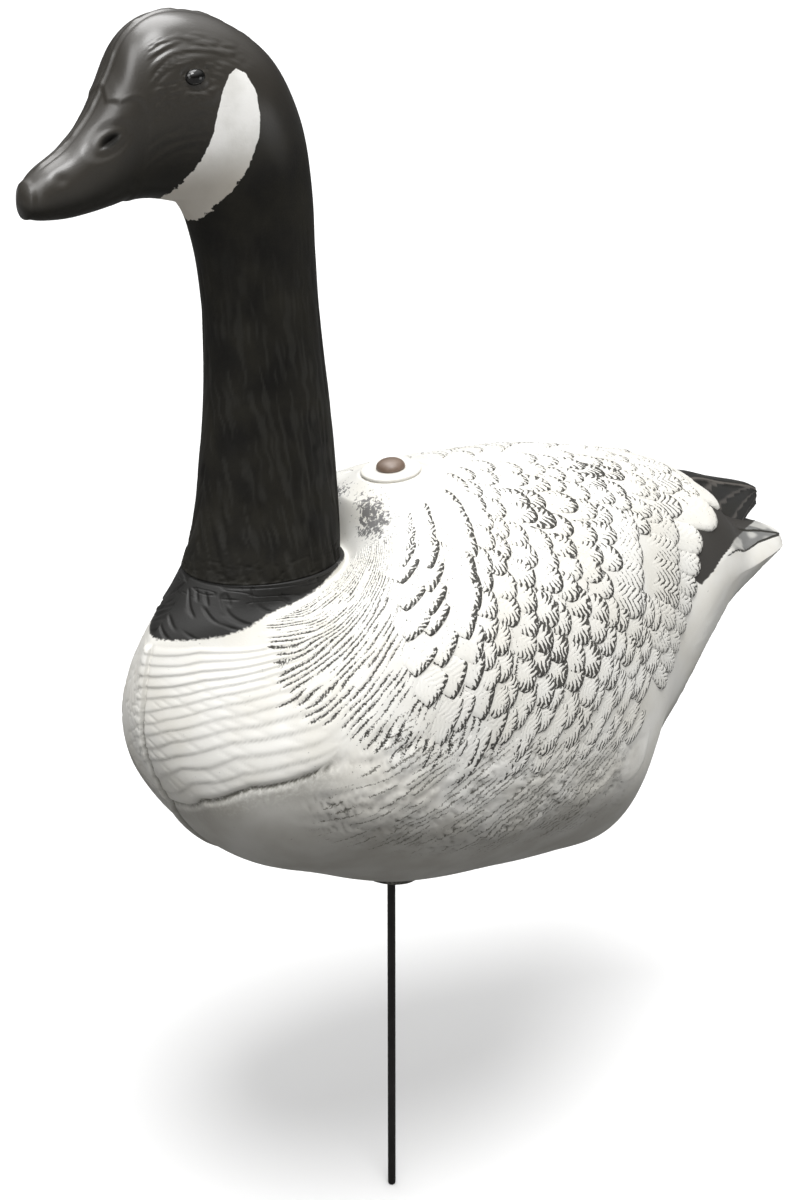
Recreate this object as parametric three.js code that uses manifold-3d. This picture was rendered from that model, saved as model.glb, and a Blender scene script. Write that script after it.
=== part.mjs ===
// Garden goose on a ground stake, built in millimetres with +Z up.
// The goose faces -X, its left flank faces -Y, and the foot of the stake stands at the origin.
import * as THREE from 'three';
import { mergeVertices } from 'three/addons/utils/BufferGeometryUtils.js';
import Module from 'manifold-3d';

const wasm = await Module();
wasm.setup();

// Stake and its fittings
const STAKE_DIAMETER = 6;
const CLEARANCE = 0.3;
const WASHER_DIAMETER = 42;
const WASHER_THICKNESS = 2.4;
const WASHER_TOP = 587.2;
const CAP_DIAMETER = 20;
const CAP_HEIGHT = 6.6;
const BACK_TILT = 6;

// Seat under the washer and boss under the belly
const SEAT_DIAMETER = 44;
const SEAT_FOOT = 74;
const SEAT_DEPTH = 10;
const BOSS_DIAMETER = 44;
const BOSS_BOTTOM = 277.5;
const BOSS_HEIGHT = 30;
const BOSS_TILT = 7;

// Carved relief: depths in millimetres, lengths in section steps
const CHEST_BANDS = 11;
const CHEST_START = 2.1;
const CHEST_END = 4.95;
const CHEST_DEPTH = 1.2;
const CREASE_SECTION = 5.15;
const CREASE_DEPTH = 2.2;
const WING_ROWS = 12;
const WING_DEPTH = 1.9;
const FINGER_DEPTH = 5;
const NOTCH_LENGTH = 0.42;
const FEATHER_COLUMNS = 3;

// Angles round a section, from 0 at the back to 180 at the belly
const RIDGE_COLUMNS = 2;
const WING_COLUMNS = 27;
const BELLY_COLUMNS = 8;
const WING_FROM = 11;
const WING_TO = 99;

// Neck and head
const NECK_COLUMNS = 11;
const NECK_STEPS = 32;
const EYE_CENTRE = [-162.5, -31.5, 869];
const EYE_RADIUS = 6.6;
const EYE_TURN = 12;
const NOSTRIL_CENTRE = [-214.5, -21.5, 834];
const NOSTRIL_SIZE = [12, 4.2, 6.5];
const NOSTRIL_SLOPE = 42;

// Body sections from the neck joint to the tail tip. Each row holds the back point (x, z), the belly point (x, z),
// the half width, the widest level (0 back, 1 belly), the fullness of back and belly, and the side edge's sharpness.
const BODY_SECTIONS = [
  [-49, 544.7, -161, 544.7, 49.5, 0.5, 2, 1.9, 0],
  [-45, 542, -174, 527.5, 50.3, 0.49, 2, 1.86, 0],
  [-39.5, 551.5, -194, 504.5, 60.6, 0.45, 2, 1.46, 0],
  [-33.5, 562, -201, 474, 76.4, 0.42, 1.99, 1.51, 0],
  [-26, 570.5, -203.5, 440, 94.5, 0.39, 1.93, 1.79, 0],
  [-15.5, 578, -188.7, 396.8, 118.6, 0.45, 1.91, 2.46, 0],
  [2, 581, -158, 352.5, 135.4, 0.47, 1.91, 2.47, 0],
  [24, 582.3, -107.1, 325.2, 141.4, 0.49, 1.96, 2.33, 0],
  [54, 581.2, -44.9, 297.2, 141.9, 0.5, 2.06, 2.23, 0],
  [92, 579, 28.2, 283, 137.8, 0.5, 2.09, 2.21, 0],
  [132, 575.6, 93.7, 275, 126.3, 0.49, 2.18, 2.36, 0],
  [174, 567.2, 144.1, 271.9, 110.6, 0.48, 2.16, 2.5, 0],
  [212, 558, 175.4, 287.4, 90.7, 0.45, 2.12, 1.99, 0],
  [244, 545.4, 203.6, 316.1, 85.9, 0.38, 2.15, 1.84, 0.1],
  [272, 523.7, 230.1, 351.5, 76.7, 0.3, 2.2, 1.9, 0.3],
  [300, 497.8, 257.9, 387.9, 62.8, 0.27, 2.1, 1.9, 0.6],
  [328, 484, 299.8, 415.5, 50.2, 0.25, 2.1, 1.9, 0.8],
  [354, 474, 339, 436.3, 34.3, 0.28, 2.1, 1.9, 0.8],
  [371, 466, 365, 447, 16.2, 0.4, 2, 2, 0.6],
];

// Rear edge of the folded wing: angle round the section, section number.
const WING_EDGE = [
  [0, 14.5],
  [30, 14.1],
  [54, 13.2],
  [64, 12.3],
  [74, 11.6],
  [90, 10.8],
  [105, 10.5],
  [180, 10.5],
];

// Front edge of the folded wing: angle round the section, section number.
const WING_FRONT = [
  [0, 5.3],
  [60, 5.3],
  [90, 5.8],
  [180, 5.9],
];

// Folded wing tips over the tail: x, top z, bottom z, half width at the top, half width at the bottom.
const WING_TIP_SECTIONS = [
  [205, 536, 462, 26, 74],
  [240, 532, 462, 18, 56],
  [275, 530.2, 462, 12, 38],
  [305, 520.2, 468, 9, 22],
  [335.7, 510.6, 483.3, 7, 8],
  [348.7, 504.4, 489, 4, 4],
];

// Head and neck sections from the joint to the bill tip, laid out like the body sections.
const NECK_SECTIONS = [
  [-51, 545, -161.5, 545, 47, 0.5, 2, 2, 0],
  [-50, 568, -153.8, 572, 41, 0.5, 2, 2, 0],
  [-51, 600, -148.7, 606, 37, 0.5, 2, 2, 0],
  [-55.2, 650, -143.3, 655, 33.7, 0.5, 2, 2, 0],
  [-62, 705, -141.6, 708, 32.2, 0.5, 2, 2, 0],
  [-64.7, 750, -144.7, 745, 31.6, 0.5, 2, 2, 0],
  [-66.5, 790, -150.4, 770, 31.7, 0.48, 2, 2, 0],
  [-75, 834.7, -155.1, 782.7, 34.6, 0.46, 2, 2, 0],
  [-95, 872.8, -161, 789.8, 36.4, 0.46, 2.1, 2, 0],
  [-124.2, 894.8, -170, 793, 36.1, 0.46, 2.15, 2, 0],
  [-151.3, 904, -180.1, 795.2, 33.9, 0.45, 2.2, 2, 0],
  [-176, 903.7, -190.2, 796.1, 29.8, 0.45, 2.2, 2.1, 0],
  [-194.4, 892.7, -200.4, 795.4, 25.9, 0.46, 2.2, 2.2, 0],
  [-206.5, 871.6, -210.3, 793.6, 23.8, 0.48, 2.2, 2.3, 0],
  [-219.8, 850.3, -222.5, 791.7, 20.9, 0.5, 2.2, 2.4, 0],
  [-236.3, 833.3, -239.2, 790, 18.3, 0.52, 2.2, 2.4, 0],
  [-254.2, 822.4, -255.9, 790.6, 15.4, 0.52, 2.2, 2.4, 0],
  [-263.8, 814.5, -265.1, 792.6, 10.2, 0.5, 2.1, 2.3, 0],
];
const BILL_TIP = [-269, 0, 803.5];

// Smooth interpolation of a section table at a fractional row number.
function sectionAt(rows, position) {
  const last = rows.length - 1;
  const clamped = Math.min(Math.max(position, 0), last - 1e-9);
  const index = Math.floor(clamped);
  const t = clamped - index;
  const p1 = rows[index];
  const p2 = rows[index + 1];
  const p0 = index > 0 ? rows[index - 1] : p1.map((value, i) => 2 * value - p2[i]);
  const p3 = index + 2 <= last ? rows[index + 2] : p2.map((value, i) => 2 * value - p1[i]);
  return p1.map((value, i) => {
    const slope = p2[i] - p0[i];
    const bend = 2 * p0[i] - 5 * value + 4 * p2[i] - p3[i];
    const twist = 3 * value - p0[i] - 3 * p2[i] + p3[i];
    return value + 0.5 * (slope * t + bend * t * t + twist * t * t * t);
  });
}

// Point on a lofted surface; the angle runs from 0 at the back over the left side to pi at the belly.
function loftPoint(rows, position, angle) {
  const [backX, backZ, bellyX, bellyZ, width, level, backFull, bellyFull, edge] = sectionAt(rows, position);
  const centreX = backX + (bellyX - backX) * level;
  const centreZ = backZ + (bellyZ - backZ) * level;
  const cosine = Math.cos(angle);
  const towardBack = cosine >= 0;
  const power = 2 / (towardBack ? backFull : bellyFull);
  const reach = Math.abs(cosine) ** (power * (1 + edge));
  const side = width * Math.abs(Math.sin(angle)) ** power;
  const endX = towardBack ? backX : bellyX;
  const endZ = towardBack ? backZ : bellyZ;
  return new THREE.Vector3(centreX + (endX - centreX) * reach, -side, centreZ + (endZ - centreZ) * reach);
}

// Outward direction of a lofted surface.
function loftNormal(rows, position, angle) {
  const step = 0.02;
  const along = loftPoint(rows, position + step, angle).sub(loftPoint(rows, position - step, angle));
  const lower = Math.max(angle - step, 0.001);
  const upper = Math.min(angle + step, Math.PI - 0.001);
  const around = loftPoint(rows, position, upper).sub(loftPoint(rows, position, lower));
  return along.cross(around).normalize().negate();
}

// Linear lookup in a two-column table.
function lookup(table, key) {
  for (let i = 1; i < table.length; i += 1) {
    if (key <= table[i][0]) {
      const share = (key - table[i - 1][0]) / (table[i][0] - table[i - 1][0]);
      return table[i - 1][1] + (table[i][1] - table[i - 1][1]) * share;
    }
  }
  return table[table.length - 1][1];
}

function smooth(from, to, value) {
  const t = Math.min(Math.max((value - from) / (to - from), 0), 1);
  return t * t * (3 - 2 * t);
}

// Closed mesh from indexed vertices; triangles with a repeated vertex are left out.
function meshFrom(vertices, triangles) {
  const geometry = new THREE.BufferGeometry();
  geometry.setAttribute('position', new THREE.Float32BufferAttribute(vertices.flatMap((v) => [v.x, v.y, v.z]), 3));
  const kept = triangles.filter(([a, b, c]) => a !== b && b !== c && a !== c);
  geometry.setIndex(kept.flat());
  return geometry;
}

// The same mesh with every face turned over.
function turnedOver(geometry) {
  const index = Array.from(geometry.index.array);
  for (let i = 0; i < index.length; i += 3) {
    [index[i + 1], index[i + 2]] = [index[i + 2], index[i + 1]];
  }
  geometry.setIndex(index);
  return geometry;
}

function toSolid(geometry) {
  const plain = geometry.clone();
  plain.deleteAttribute('normal');
  plain.deleteAttribute('uv');
  const merged = mergeVertices(plain, 1e-4);
  const vertProperties = new Float32Array(merged.attributes.position.array);
  const triVerts = new Uint32Array(merged.index.array);
  return new wasm.Manifold(new wasm.Mesh({ numProp: 3, vertProperties, triVerts }));
}

function fromSolid(solid) {
  const mesh = solid.getMesh();
  const geometry = new THREE.BufferGeometry();
  geometry.setAttribute('position', new THREE.Float32BufferAttribute(mesh.vertProperties, 3));
  geometry.setIndex(Array.from(mesh.triVerts));
  return geometry;
}

// Closes rings of equal length into a tube with a flat start and a pointed or flat end.
function closeRings(rings, startPoint, endPoint, merge = (j, k) => [j, k]) {
  const count = rings[0].length;
  const vertices = rings.flat();
  const startIndex = vertices.length;
  vertices.push(startPoint, endPoint);
  const at = (j, k) => {
    const [row, column] = merge(j, k % count);
    return row * count + (column % count);
  };
  const triangles = [];
  for (let k = 0; k < count; k += 1) {
    triangles.push([startIndex, at(0, k + 1), at(0, k)]);
    triangles.push([startIndex + 1, at(rings.length - 1, k), at(rings.length - 1, k + 1)]);
    for (let j = 0; j + 1 < rings.length; j += 1) {
      triangles.push([at(j, k), at(j + 1, k + 1), at(j + 1, k)]);
      triangles.push([at(j, k), at(j, k + 1), at(j + 1, k + 1)]);
    }
  }
  return meshFrom(vertices, triangles);
}

// Left half of a section, mirrored to a full ring.
function mirrorRing(half) {
  const right = half.slice(1, -1).reverse().map((v) => new THREE.Vector3(v.x, -v.y, v.z));
  return [...half, ...right];
}

function bodyAngles() {
  const degrees = [];
  for (let i = 0; i < RIDGE_COLUMNS; i += 1) {
    degrees.push((WING_FROM * i) / RIDGE_COLUMNS);
  }
  for (let i = 0; i < WING_COLUMNS; i += 1) {
    degrees.push(WING_FROM + ((WING_TO - WING_FROM) * i) / WING_COLUMNS);
  }
  for (let i = 0; i <= BELLY_COLUMNS; i += 1) {
    degrees.push(WING_TO + ((180 - WING_TO) * i) / BELLY_COLUMNS);
  }
  return degrees;
}

// Stations along the body: each gives a section number and a raised height for an angle and its column.
function bodyStations() {
  const stations = [];
  const plain = (position) => stations.push({ kind: 'plain', at: () => ({ position, height: 0 }) });
  [0, 0.5, 1, 1.3, 1.7].forEach(plain);
  const bandStep = (CHEST_END - CHEST_START) / CHEST_BANDS;
  for (let band = 0; band < CHEST_BANDS; band += 1) {
    const start = CHEST_START + band * bandStep;
    plain(start);
    stations.push({
      kind: 'chest',
      at: (degree) => ({
        position: start + 0.8 * bandStep,
        height: CHEST_DEPTH * smooth(100, 118, degree),
      }),
    });
  }
  stations.push({
    kind: 'chest',
    at: (degree) => ({ position: CREASE_SECTION, height: -CREASE_DEPTH * smooth(104, 120, degree) }),
  });
  const rowStep = 1 / WING_ROWS;
  for (let row = 0; row <= WING_ROWS; row += 1) {
    const finger = row === WING_ROWS;
    const edgeAt = (degree, column) => {
      const phase = (column - RIDGE_COLUMNS + (row % 2 ? 1 : 0)) % FEATHER_COLUMNS;
      const inWing = smooth(6, 14, degree) * (1 - smooth(90, 100, degree));
      const notch = row > 0 && phase === 0 ? NOTCH_LENGTH * inWing : 0;
      const share = Math.max(row - notch, 0) * rowStep;
      const front = lookup(WING_FRONT, degree);
      return { front, share, inWing, length: lookup(WING_EDGE, degree) - front };
    };
    if (row > 0) {
      stations.push({
        kind: 'edge',
        at: (degree, column) => {
          const { front, share, inWing, length } = edgeAt(degree, column);
          const depth = finger ? FINGER_DEPTH * (1 - 0.6 * smooth(60, 95, degree)) : WING_DEPTH;
          return { position: front + length * (share - 0.1 * rowStep), height: depth * inWing };
        },
      });
    }
    stations.push({
      kind: 'root',
      at: (degree, column) => {
        const { front, share, length } = edgeAt(degree, column);
        return { position: front + length * share, height: 0 };
      },
    });
  }
  const lastSection = BODY_SECTIONS.length - 1;
  [0.09, 0.18, 0.3, 0.44, 0.59, 0.73, 0.85, 0.94, 1].forEach((share) => {
    stations.push({
      kind: 'tail',
      at: (degree) => {
        const edge = lookup(WING_EDGE, degree);
        return { position: edge + (lastSection - edge) * share, height: 0 };
      },
    });
  });
  return stations;
}

function buildBody() {
  const degrees = bodyAngles();
  const stations = bodyStations();
  const rings = stations.map((station) => mirrorRing(degrees.map((degree, column) => {
    const { position, height } = station.at(degree, column);
    const angle = THREE.MathUtils.degToRad(degree);
    const point = loftPoint(BODY_SECTIONS, position, angle);
    if (height !== 0) {
      point.addScaledVector(loftNormal(BODY_SECTIONS, position, angle), height);
    }
    return point;
  })));
  const half = degrees.length - 1;
  const merge = (j, k) => {
    const column = k <= half ? k : 2 * half - k;
    const dense = column > RIDGE_COLUMNS && column < RIDGE_COLUMNS + WING_COLUMNS;
    const kind = stations[j].kind;
    const sparse = kind === 'plain' || kind === 'chest' || kind === 'tail';
    if (!dense || !sparse) {
      return [j, k];
    }
    const kept = RIDGE_COLUMNS + FEATHER_COLUMNS * Math.round((column - RIDGE_COLUMNS) / FEATHER_COLUMNS);
    return [j, k <= half ? kept : 2 * half - kept];
  };
  const first = sectionAt(BODY_SECTIONS, 0);
  const startPoint = new THREE.Vector3((first[0] + first[2]) / 2, 0, first[1]);
  const last = sectionAt(BODY_SECTIONS, BODY_SECTIONS.length - 1);
  const endPoint = new THREE.Vector3(last[0] + 5, 0, (last[1] + last[3]) / 2);
  let solid = toSolid(closeRings(rings, startPoint, endPoint, merge));
  solid = solid.add(toSolid(buildWingTips()));
  solid = solid.add(toSolid(tiltedDisc(SEAT_DIAMETER, SEAT_DEPTH, BACK_TILT, seatTop(), 28, SEAT_FOOT)));
  solid = solid.add(toSolid(tiltedDisc(BOSS_DIAMETER, BOSS_HEIGHT, BOSS_TILT, BOSS_BOTTOM + BOSS_HEIGHT, 28)));
  const bore = new THREE.CylinderGeometry(STAKE_DIAMETER / 2 + CLEARANCE, STAKE_DIAMETER / 2 + CLEARANCE, 400, 16);
  bore.rotateX(Math.PI / 2);
  bore.translate(0, 0, 430);
  return fromSolid(solid.subtract(toSolid(bore)));
}

// Height of the flat seat under the washer, measured on the stake's axis.
function seatTop() {
  return WASHER_TOP - WASHER_THICKNESS - CLEARANCE;
}

// Disc, or cone with a wider foot, with its top face through the given height on the stake's axis, tilted about Y.
function tiltedDisc(diameter, height, tilt, top, sides, foot = diameter) {
  const geometry = new THREE.CylinderGeometry(diameter / 2, foot / 2, height, sides);
  geometry.rotateX(Math.PI / 2);
  geometry.translate(0, 0, -height / 2);
  geometry.rotateY(THREE.MathUtils.degToRad(-tilt * Math.sign(top - 400)));
  geometry.translate(0, 0, top);
  return geometry;
}

function buildWingTips() {
  const rings = [];
  const steps = 9;
  for (let j = 0; j <= steps; j += 1) {
    const position = ((WING_TIP_SECTIONS.length - 1) * j) / steps;
    const [x, top, bottom, topHalf, bottomHalf] = sectionAt(WING_TIP_SECTIONS, position);
    const half = [
      [0, top],
      [topHalf * 0.75, top - 0.6],
      [topHalf, top - 3],
      [topHalf * 0.8 + bottomHalf * 0.2, top - 0.35 * (top - bottom)],
      [topHalf * 0.3 + bottomHalf * 0.7, top - 0.75 * (top - bottom)],
      [bottomHalf, bottom],
      [0, bottom - 1],
    ];
    rings.push(mirrorRing(half.map(([y, z]) => new THREE.Vector3(x, -y, z))));
  }
  const first = WING_TIP_SECTIONS[0];
  const last = WING_TIP_SECTIONS[WING_TIP_SECTIONS.length - 1];
  const start = new THREE.Vector3(first[0], 0, (first[1] + first[2]) / 2);
  const end = new THREE.Vector3(last[0] + 3, 0, (last[1] + last[2]) / 2);
  return closeRings(rings, start, end);
}

function ellipsoid(centre, size, slope, turn) {
  const geometry = new THREE.SphereGeometry(1, 10, 6);
  geometry.scale(size[0], size[1], size[2]);
  geometry.rotateY(THREE.MathUtils.degToRad(slope));
  geometry.rotateZ(THREE.MathUtils.degToRad(turn));
  geometry.translate(centre[0], centre[1], centre[2]);
  return geometry;
}

function mirrored(point) {
  return [point[0], -point[1], point[2]];
}

function buildHeadAndNeck() {
  const rings = [];
  for (let j = 0; j <= NECK_STEPS; j += 1) {
    const position = ((NECK_SECTIONS.length - 1) * j) / NECK_STEPS;
    const half = [];
    for (let k = 0; k <= NECK_COLUMNS; k += 1) {
      half.push(loftPoint(NECK_SECTIONS, position, (Math.PI * k) / NECK_COLUMNS));
    }
    rings.push(mirrorRing(half));
  }
  const first = NECK_SECTIONS[0];
  const start = new THREE.Vector3((first[0] + first[2]) / 2, 0, first[1]);
  let solid = toSolid(turnedOver(closeRings(rings, start, new THREE.Vector3(...BILL_TIP))));
  for (const side of [1, -1]) {
    const eye = side === 1 ? EYE_CENTRE : mirrored(EYE_CENTRE);
    const nostril = side === 1 ? NOSTRIL_CENTRE : mirrored(NOSTRIL_CENTRE);
    solid = solid.add(toSolid(ellipsoid(eye, [EYE_RADIUS, 5, EYE_RADIUS * 0.85], 0, EYE_TURN * side)));
    solid = solid.subtract(toSolid(ellipsoid(nostril, NOSTRIL_SIZE, -NOSTRIL_SLOPE, 0)));
  }
  return fromSolid(solid);
}

function buildStake() {
  const top = WASHER_TOP - 0.6;
  const stake = new THREE.CylinderGeometry(STAKE_DIAMETER / 2, STAKE_DIAMETER / 2, top, 16);
  stake.rotateX(Math.PI / 2);
  stake.translate(0, 0, top / 2);
  return stake;
}

function buildWasher() {
  const disc = tiltedDisc(WASHER_DIAMETER, WASHER_THICKNESS, BACK_TILT, WASHER_TOP, 28);
  const bore = new THREE.CylinderGeometry(STAKE_DIAMETER / 2 + CLEARANCE, STAKE_DIAMETER / 2 + CLEARANCE, 40, 16);
  bore.rotateX(Math.PI / 2);
  bore.translate(0, 0, WASHER_TOP);
  return fromSolid(toSolid(disc).subtract(toSolid(bore)));
}

function buildCap() {
  const radius = CAP_DIAMETER / 2;
  const profile = [new THREE.Vector2(0, 0), new THREE.Vector2(radius, 0)];
  for (let i = 1; i <= 5; i += 1) {
    const angle = (Math.PI / 2) * (i / 5);
    profile.push(new THREE.Vector2(i === 5 ? 0 : radius * Math.cos(angle), 1 + (CAP_HEIGHT - 1) * Math.sin(angle)));
  }
  const cap = new THREE.LatheGeometry(profile, 20);
  cap.rotateX(Math.PI / 2);
  cap.rotateY(THREE.MathUtils.degToRad(-BACK_TILT));
  cap.translate(0, 0, WASHER_TOP + CLEARANCE);
  return cap;
}

function piece(name, geometry, color, roughness, metalness = 0) {
  const plain = geometry.clone();
  plain.deleteAttribute('uv');
  plain.computeVertexNormals();
  const mesh = new THREE.Mesh(plain, new THREE.MeshStandardMaterial({ color, roughness, metalness }));
  mesh.name = name;
  return mesh;
}

const goose = new THREE.Group();
goose.name = 'garden_goose';
goose.add(
  piece('body', buildBody(), 0xe6e3da, 0.6),
  piece('head_and_neck', buildHeadAndNeck(), 0x1e1c19, 0.45),
  piece('stake', buildStake(), 0x0e0d0c, 0.5, 0.6),
  piece('back_washer', buildWasher(), 0xf2efe6, 0.5),
  piece('stake_cap', buildCap(), 0x6b584c, 0.45),
);

export default goose;
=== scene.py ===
"""Dresses the garden goose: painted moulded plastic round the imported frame, with a stage and camera."""
import copy
import math

import bpy
import numpy as np
from mathutils import Matrix, Vector


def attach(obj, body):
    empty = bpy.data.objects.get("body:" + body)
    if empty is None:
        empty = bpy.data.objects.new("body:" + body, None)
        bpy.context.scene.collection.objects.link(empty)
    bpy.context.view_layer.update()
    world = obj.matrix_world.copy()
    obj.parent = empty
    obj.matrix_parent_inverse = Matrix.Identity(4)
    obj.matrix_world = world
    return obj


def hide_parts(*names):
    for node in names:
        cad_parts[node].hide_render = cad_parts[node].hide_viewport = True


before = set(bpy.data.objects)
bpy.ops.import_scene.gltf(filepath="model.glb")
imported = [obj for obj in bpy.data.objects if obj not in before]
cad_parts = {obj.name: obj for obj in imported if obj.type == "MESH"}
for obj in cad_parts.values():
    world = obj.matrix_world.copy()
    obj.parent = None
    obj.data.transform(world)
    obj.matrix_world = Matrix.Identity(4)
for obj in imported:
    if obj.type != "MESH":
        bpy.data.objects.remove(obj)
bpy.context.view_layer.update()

bl_info = {
    "name": "Garden Goose",
    "version": (1, 0, 0),
    "blender": (4, 5, 0),
    "location": "View3D > Sidebar > Goose",
    "description": "Painted garden goose on a ground stake",
    "category": "Object",
}

# Lengths in the tables are millimetres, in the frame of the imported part.
MM = 0.001

# Body sections from the neck joint to the tail tip: back point (x, z), belly point (x, z), half width,
# widest level (0 back, 1 belly), fullness of back and belly, and the side edge's sharpness.
BODY_SECTIONS = np.array([
    [-49, 544.7, -161, 544.7, 49.5, 0.5, 2, 1.9, 0],
    [-45, 542, -174, 527.5, 50.3, 0.49, 2, 1.86, 0],
    [-39.5, 551.5, -194, 504.5, 60.6, 0.45, 2, 1.46, 0],
    [-33.5, 562, -201, 474, 76.4, 0.42, 1.99, 1.51, 0],
    [-26, 570.5, -203.5, 440, 94.5, 0.39, 1.93, 1.79, 0],
    [-15.5, 578, -188.7, 396.8, 118.6, 0.45, 1.91, 2.46, 0],
    [2, 581, -158, 352.5, 135.4, 0.47, 1.91, 2.47, 0],
    [24, 582.3, -107.1, 325.2, 141.4, 0.49, 1.96, 2.33, 0],
    [54, 581.2, -44.9, 297.2, 141.9, 0.5, 2.06, 2.23, 0],
    [92, 579, 28.2, 283, 137.8, 0.5, 2.09, 2.21, 0],
    [132, 575.6, 93.7, 275, 126.3, 0.49, 2.18, 2.36, 0],
    [174, 567.2, 144.1, 271.9, 110.6, 0.48, 2.16, 2.5, 0],
    [212, 558, 175.4, 287.4, 90.7, 0.45, 2.12, 1.99, 0],
    [244, 545.4, 203.6, 316.1, 85.9, 0.38, 2.15, 1.84, 0.1],
    [272, 523.7, 230.1, 351.5, 76.7, 0.3, 2.2, 1.9, 0.3],
    [300, 497.8, 257.9, 387.9, 62.8, 0.27, 2.1, 1.9, 0.6],
    [328, 484, 299.8, 415.5, 50.2, 0.25, 2.1, 1.9, 0.8],
    [354, 474, 339, 436.3, 34.3, 0.28, 2.1, 1.9, 0.8],
    [371, 466, 365, 447, 16.2, 0.4, 2, 2, 0.6],
])

# Head and neck sections from the joint to the bill tip, laid out like the body sections.
NECK_SECTIONS = np.array([
    [-51, 545, -161.5, 545, 47, 0.5, 2, 2, 0],
    [-50, 568, -153.8, 572, 41, 0.5, 2, 2, 0],
    [-51, 600, -148.7, 606, 37, 0.5, 2, 2, 0],
    [-55.2, 650, -143.3, 655, 33.7, 0.5, 2, 2, 0],
    [-62, 705, -141.6, 708, 32.2, 0.5, 2, 2, 0],
    [-64.7, 750, -144.7, 745, 31.6, 0.5, 2, 2, 0],
    [-66.5, 790, -150.4, 770, 31.7, 0.48, 2, 2, 0],
    [-75, 834.7, -155.1, 782.7, 34.6, 0.46, 2, 2, 0],
    [-95, 872.8, -161, 789.8, 36.4, 0.46, 2.1, 2, 0],
    [-124.2, 894.8, -170, 793, 36.1, 0.46, 2.15, 2, 0],
    [-151.3, 904, -180.1, 795.2, 33.9, 0.45, 2.2, 2, 0],
    [-176, 903.7, -190.2, 796.1, 29.8, 0.45, 2.2, 2.1, 0],
    [-194.4, 892.7, -200.4, 795.4, 25.9, 0.46, 2.2, 2.2, 0],
    [-206.5, 871.6, -210.3, 793.6, 23.8, 0.48, 2.2, 2.3, 0],
    [-219.8, 850.3, -222.5, 791.7, 20.9, 0.5, 2.2, 2.4, 0],
    [-236.3, 833.3, -239.2, 790, 18.3, 0.52, 2.2, 2.4, 0],
    [-254.2, 822.4, -255.9, 790.6, 15.4, 0.52, 2.2, 2.4, 0],
    [-263.8, 814.5, -265.1, 792.6, 10.2, 0.5, 2.1, 2.3, 0],
])
BILL_TIP = (-269.0, 0.0, 803.5)

# Folded wing tips over the tail: x, top z, bottom z, half width at the top, half width at the bottom.
WING_TIP_SECTIONS = np.array([
    [205, 536, 462, 26, 74],
    [240, 532, 462, 18, 56],
    [275, 530.2, 462, 12, 38],
    [305, 520.2, 468, 9, 22],
    [335.7, 510.6, 483.3, 7, 8],
    [348.7, 504.4, 489, 4, 4],
])

# Edges on the body, as (angle round the section in degrees, section number).
WING_EDGE = ((0, 14.5), (30, 14.1), (54, 13.2), (64, 12.3), (74, 11.6), (90, 10.8), (105, 10.5), (180, 10.5))
WING_FRONT = (
    (0, 6.2), (12, 5.8), (22, 5.3), (43, 4.95), (56, 5.1), (68, 5.5), (78, 6.0), (90, 6.8), (100, 7.6),
    (180, 7.6))
COLLAR_EDGE = (
    (0, 0.42), (50, 0.1), (62, 0.38), (75, 1.0), (88, 1.23), (106, 1.4), (116, 1.6), (123, 1.9), (133, 1.98),
    (144, 1.93), (157, 1.88), (168, 1.85), (180, 1.83))
CHEST_TOP = ((0, 2.9), (110, 2.8), (124, 2.5), (144, 2.1), (180, 1.95))
CREASE_LINE = ((0, 5.28), (106, 5.28), (111, 5.21), (120, 5.06), (138, 4.83), (160, 4.88), (180, 5.2))
BILL_LINE = (
    (0, 13.3), (27, 13.5), (51, 13.07), (79, 12.0), (94, 11.67), (108, 11.6), (118, 11.7), (150, 11.8),
    (180, 11.9))

# Lines along the body, as (section number, angle).
# DUSK_EDGE: lower edge of the tail's dark paint and its painted shadow under the wing tips.
DUSK_EDGE = (
    (11.4, 55), (12.1, 66), (12.5, 73.5), (12.9, 71.5), (13.2, 68), (13.7, 63.5), (14.5, 50), (15.2, 37),
    (16.3, 17), (17, 0))
TAIL_LINE_UPPER = ((15.2, 34), (16.27, 32), (17.25, 44), (18, 48))
TAIL_LINE_LOWER = ((13.2, 69), (13.67, 67.5), (14.57, 62.5), (15.7, 50), (16.6, 46), (17.4, 45), (18, 48))
# Both tail lines with the sections where they start and are full, their step, its foot and the ink's width.
TAIL_LINES = ((TAIL_LINE_UPPER, 14.9, 15.3, 0.9, -6, 0.9), (TAIL_LINE_LOWER, 13.3, 13.8, 1.1, -9, 1.0))
FAN_END = (
    (0, 60), (1.0, 100), (1.6, 113), (2.1, 118), (2.8, 119.5), (3.2, 121), (3.8, 121), (4.26, 119.5),
    (4.53, 115.5), (4.78, 109.5), (5.16, 104), (5.6, 101.5), (7.0, 98), (7.8, 96), (8.4, 93), (10.3, 92),
    (18, 95))
FAN_SPACING = 0.13
LEG_LINE = ((7.1, 115), (7.54, 105), (8.16, 98), (8.8, 94.5), (9.6, 92))
# Lobes over the leg: first and last section number, angle of the lower edge.
LEG_LOBES = ((8.85, 9.95, 114.5), (9.95, 10.75, 111.5), (8.0, 8.85, 122.0))

# Corners of the white cheek patch, and middles of small forms on the head, seen from the side (x, z).
CHEEK_PATCH = (
    (-135.6, 872.5), (-129.5, 869), (-124, 860), (-122.4, 846), (-123.6, 831), (-130.5, 813.2),
    (-138.6, 799.8), (-147.4, 787.6), (-151, 780), (-155, 776), (-160, 778), (-167, 785), (-176, 790),
    (-178, 796), (-171.5, 804.7), (-161.5, 819.8), (-154.6, 835.5), (-151.4, 850.2), (-146.6, 862.8),
    (-141.5, 869.7))
NOSTRIL, BILL_DIMPLE, EYE_SOCKET = (-216.5, 836.5), (-246.8, 816.4), (-162.5, 869.5)

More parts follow.
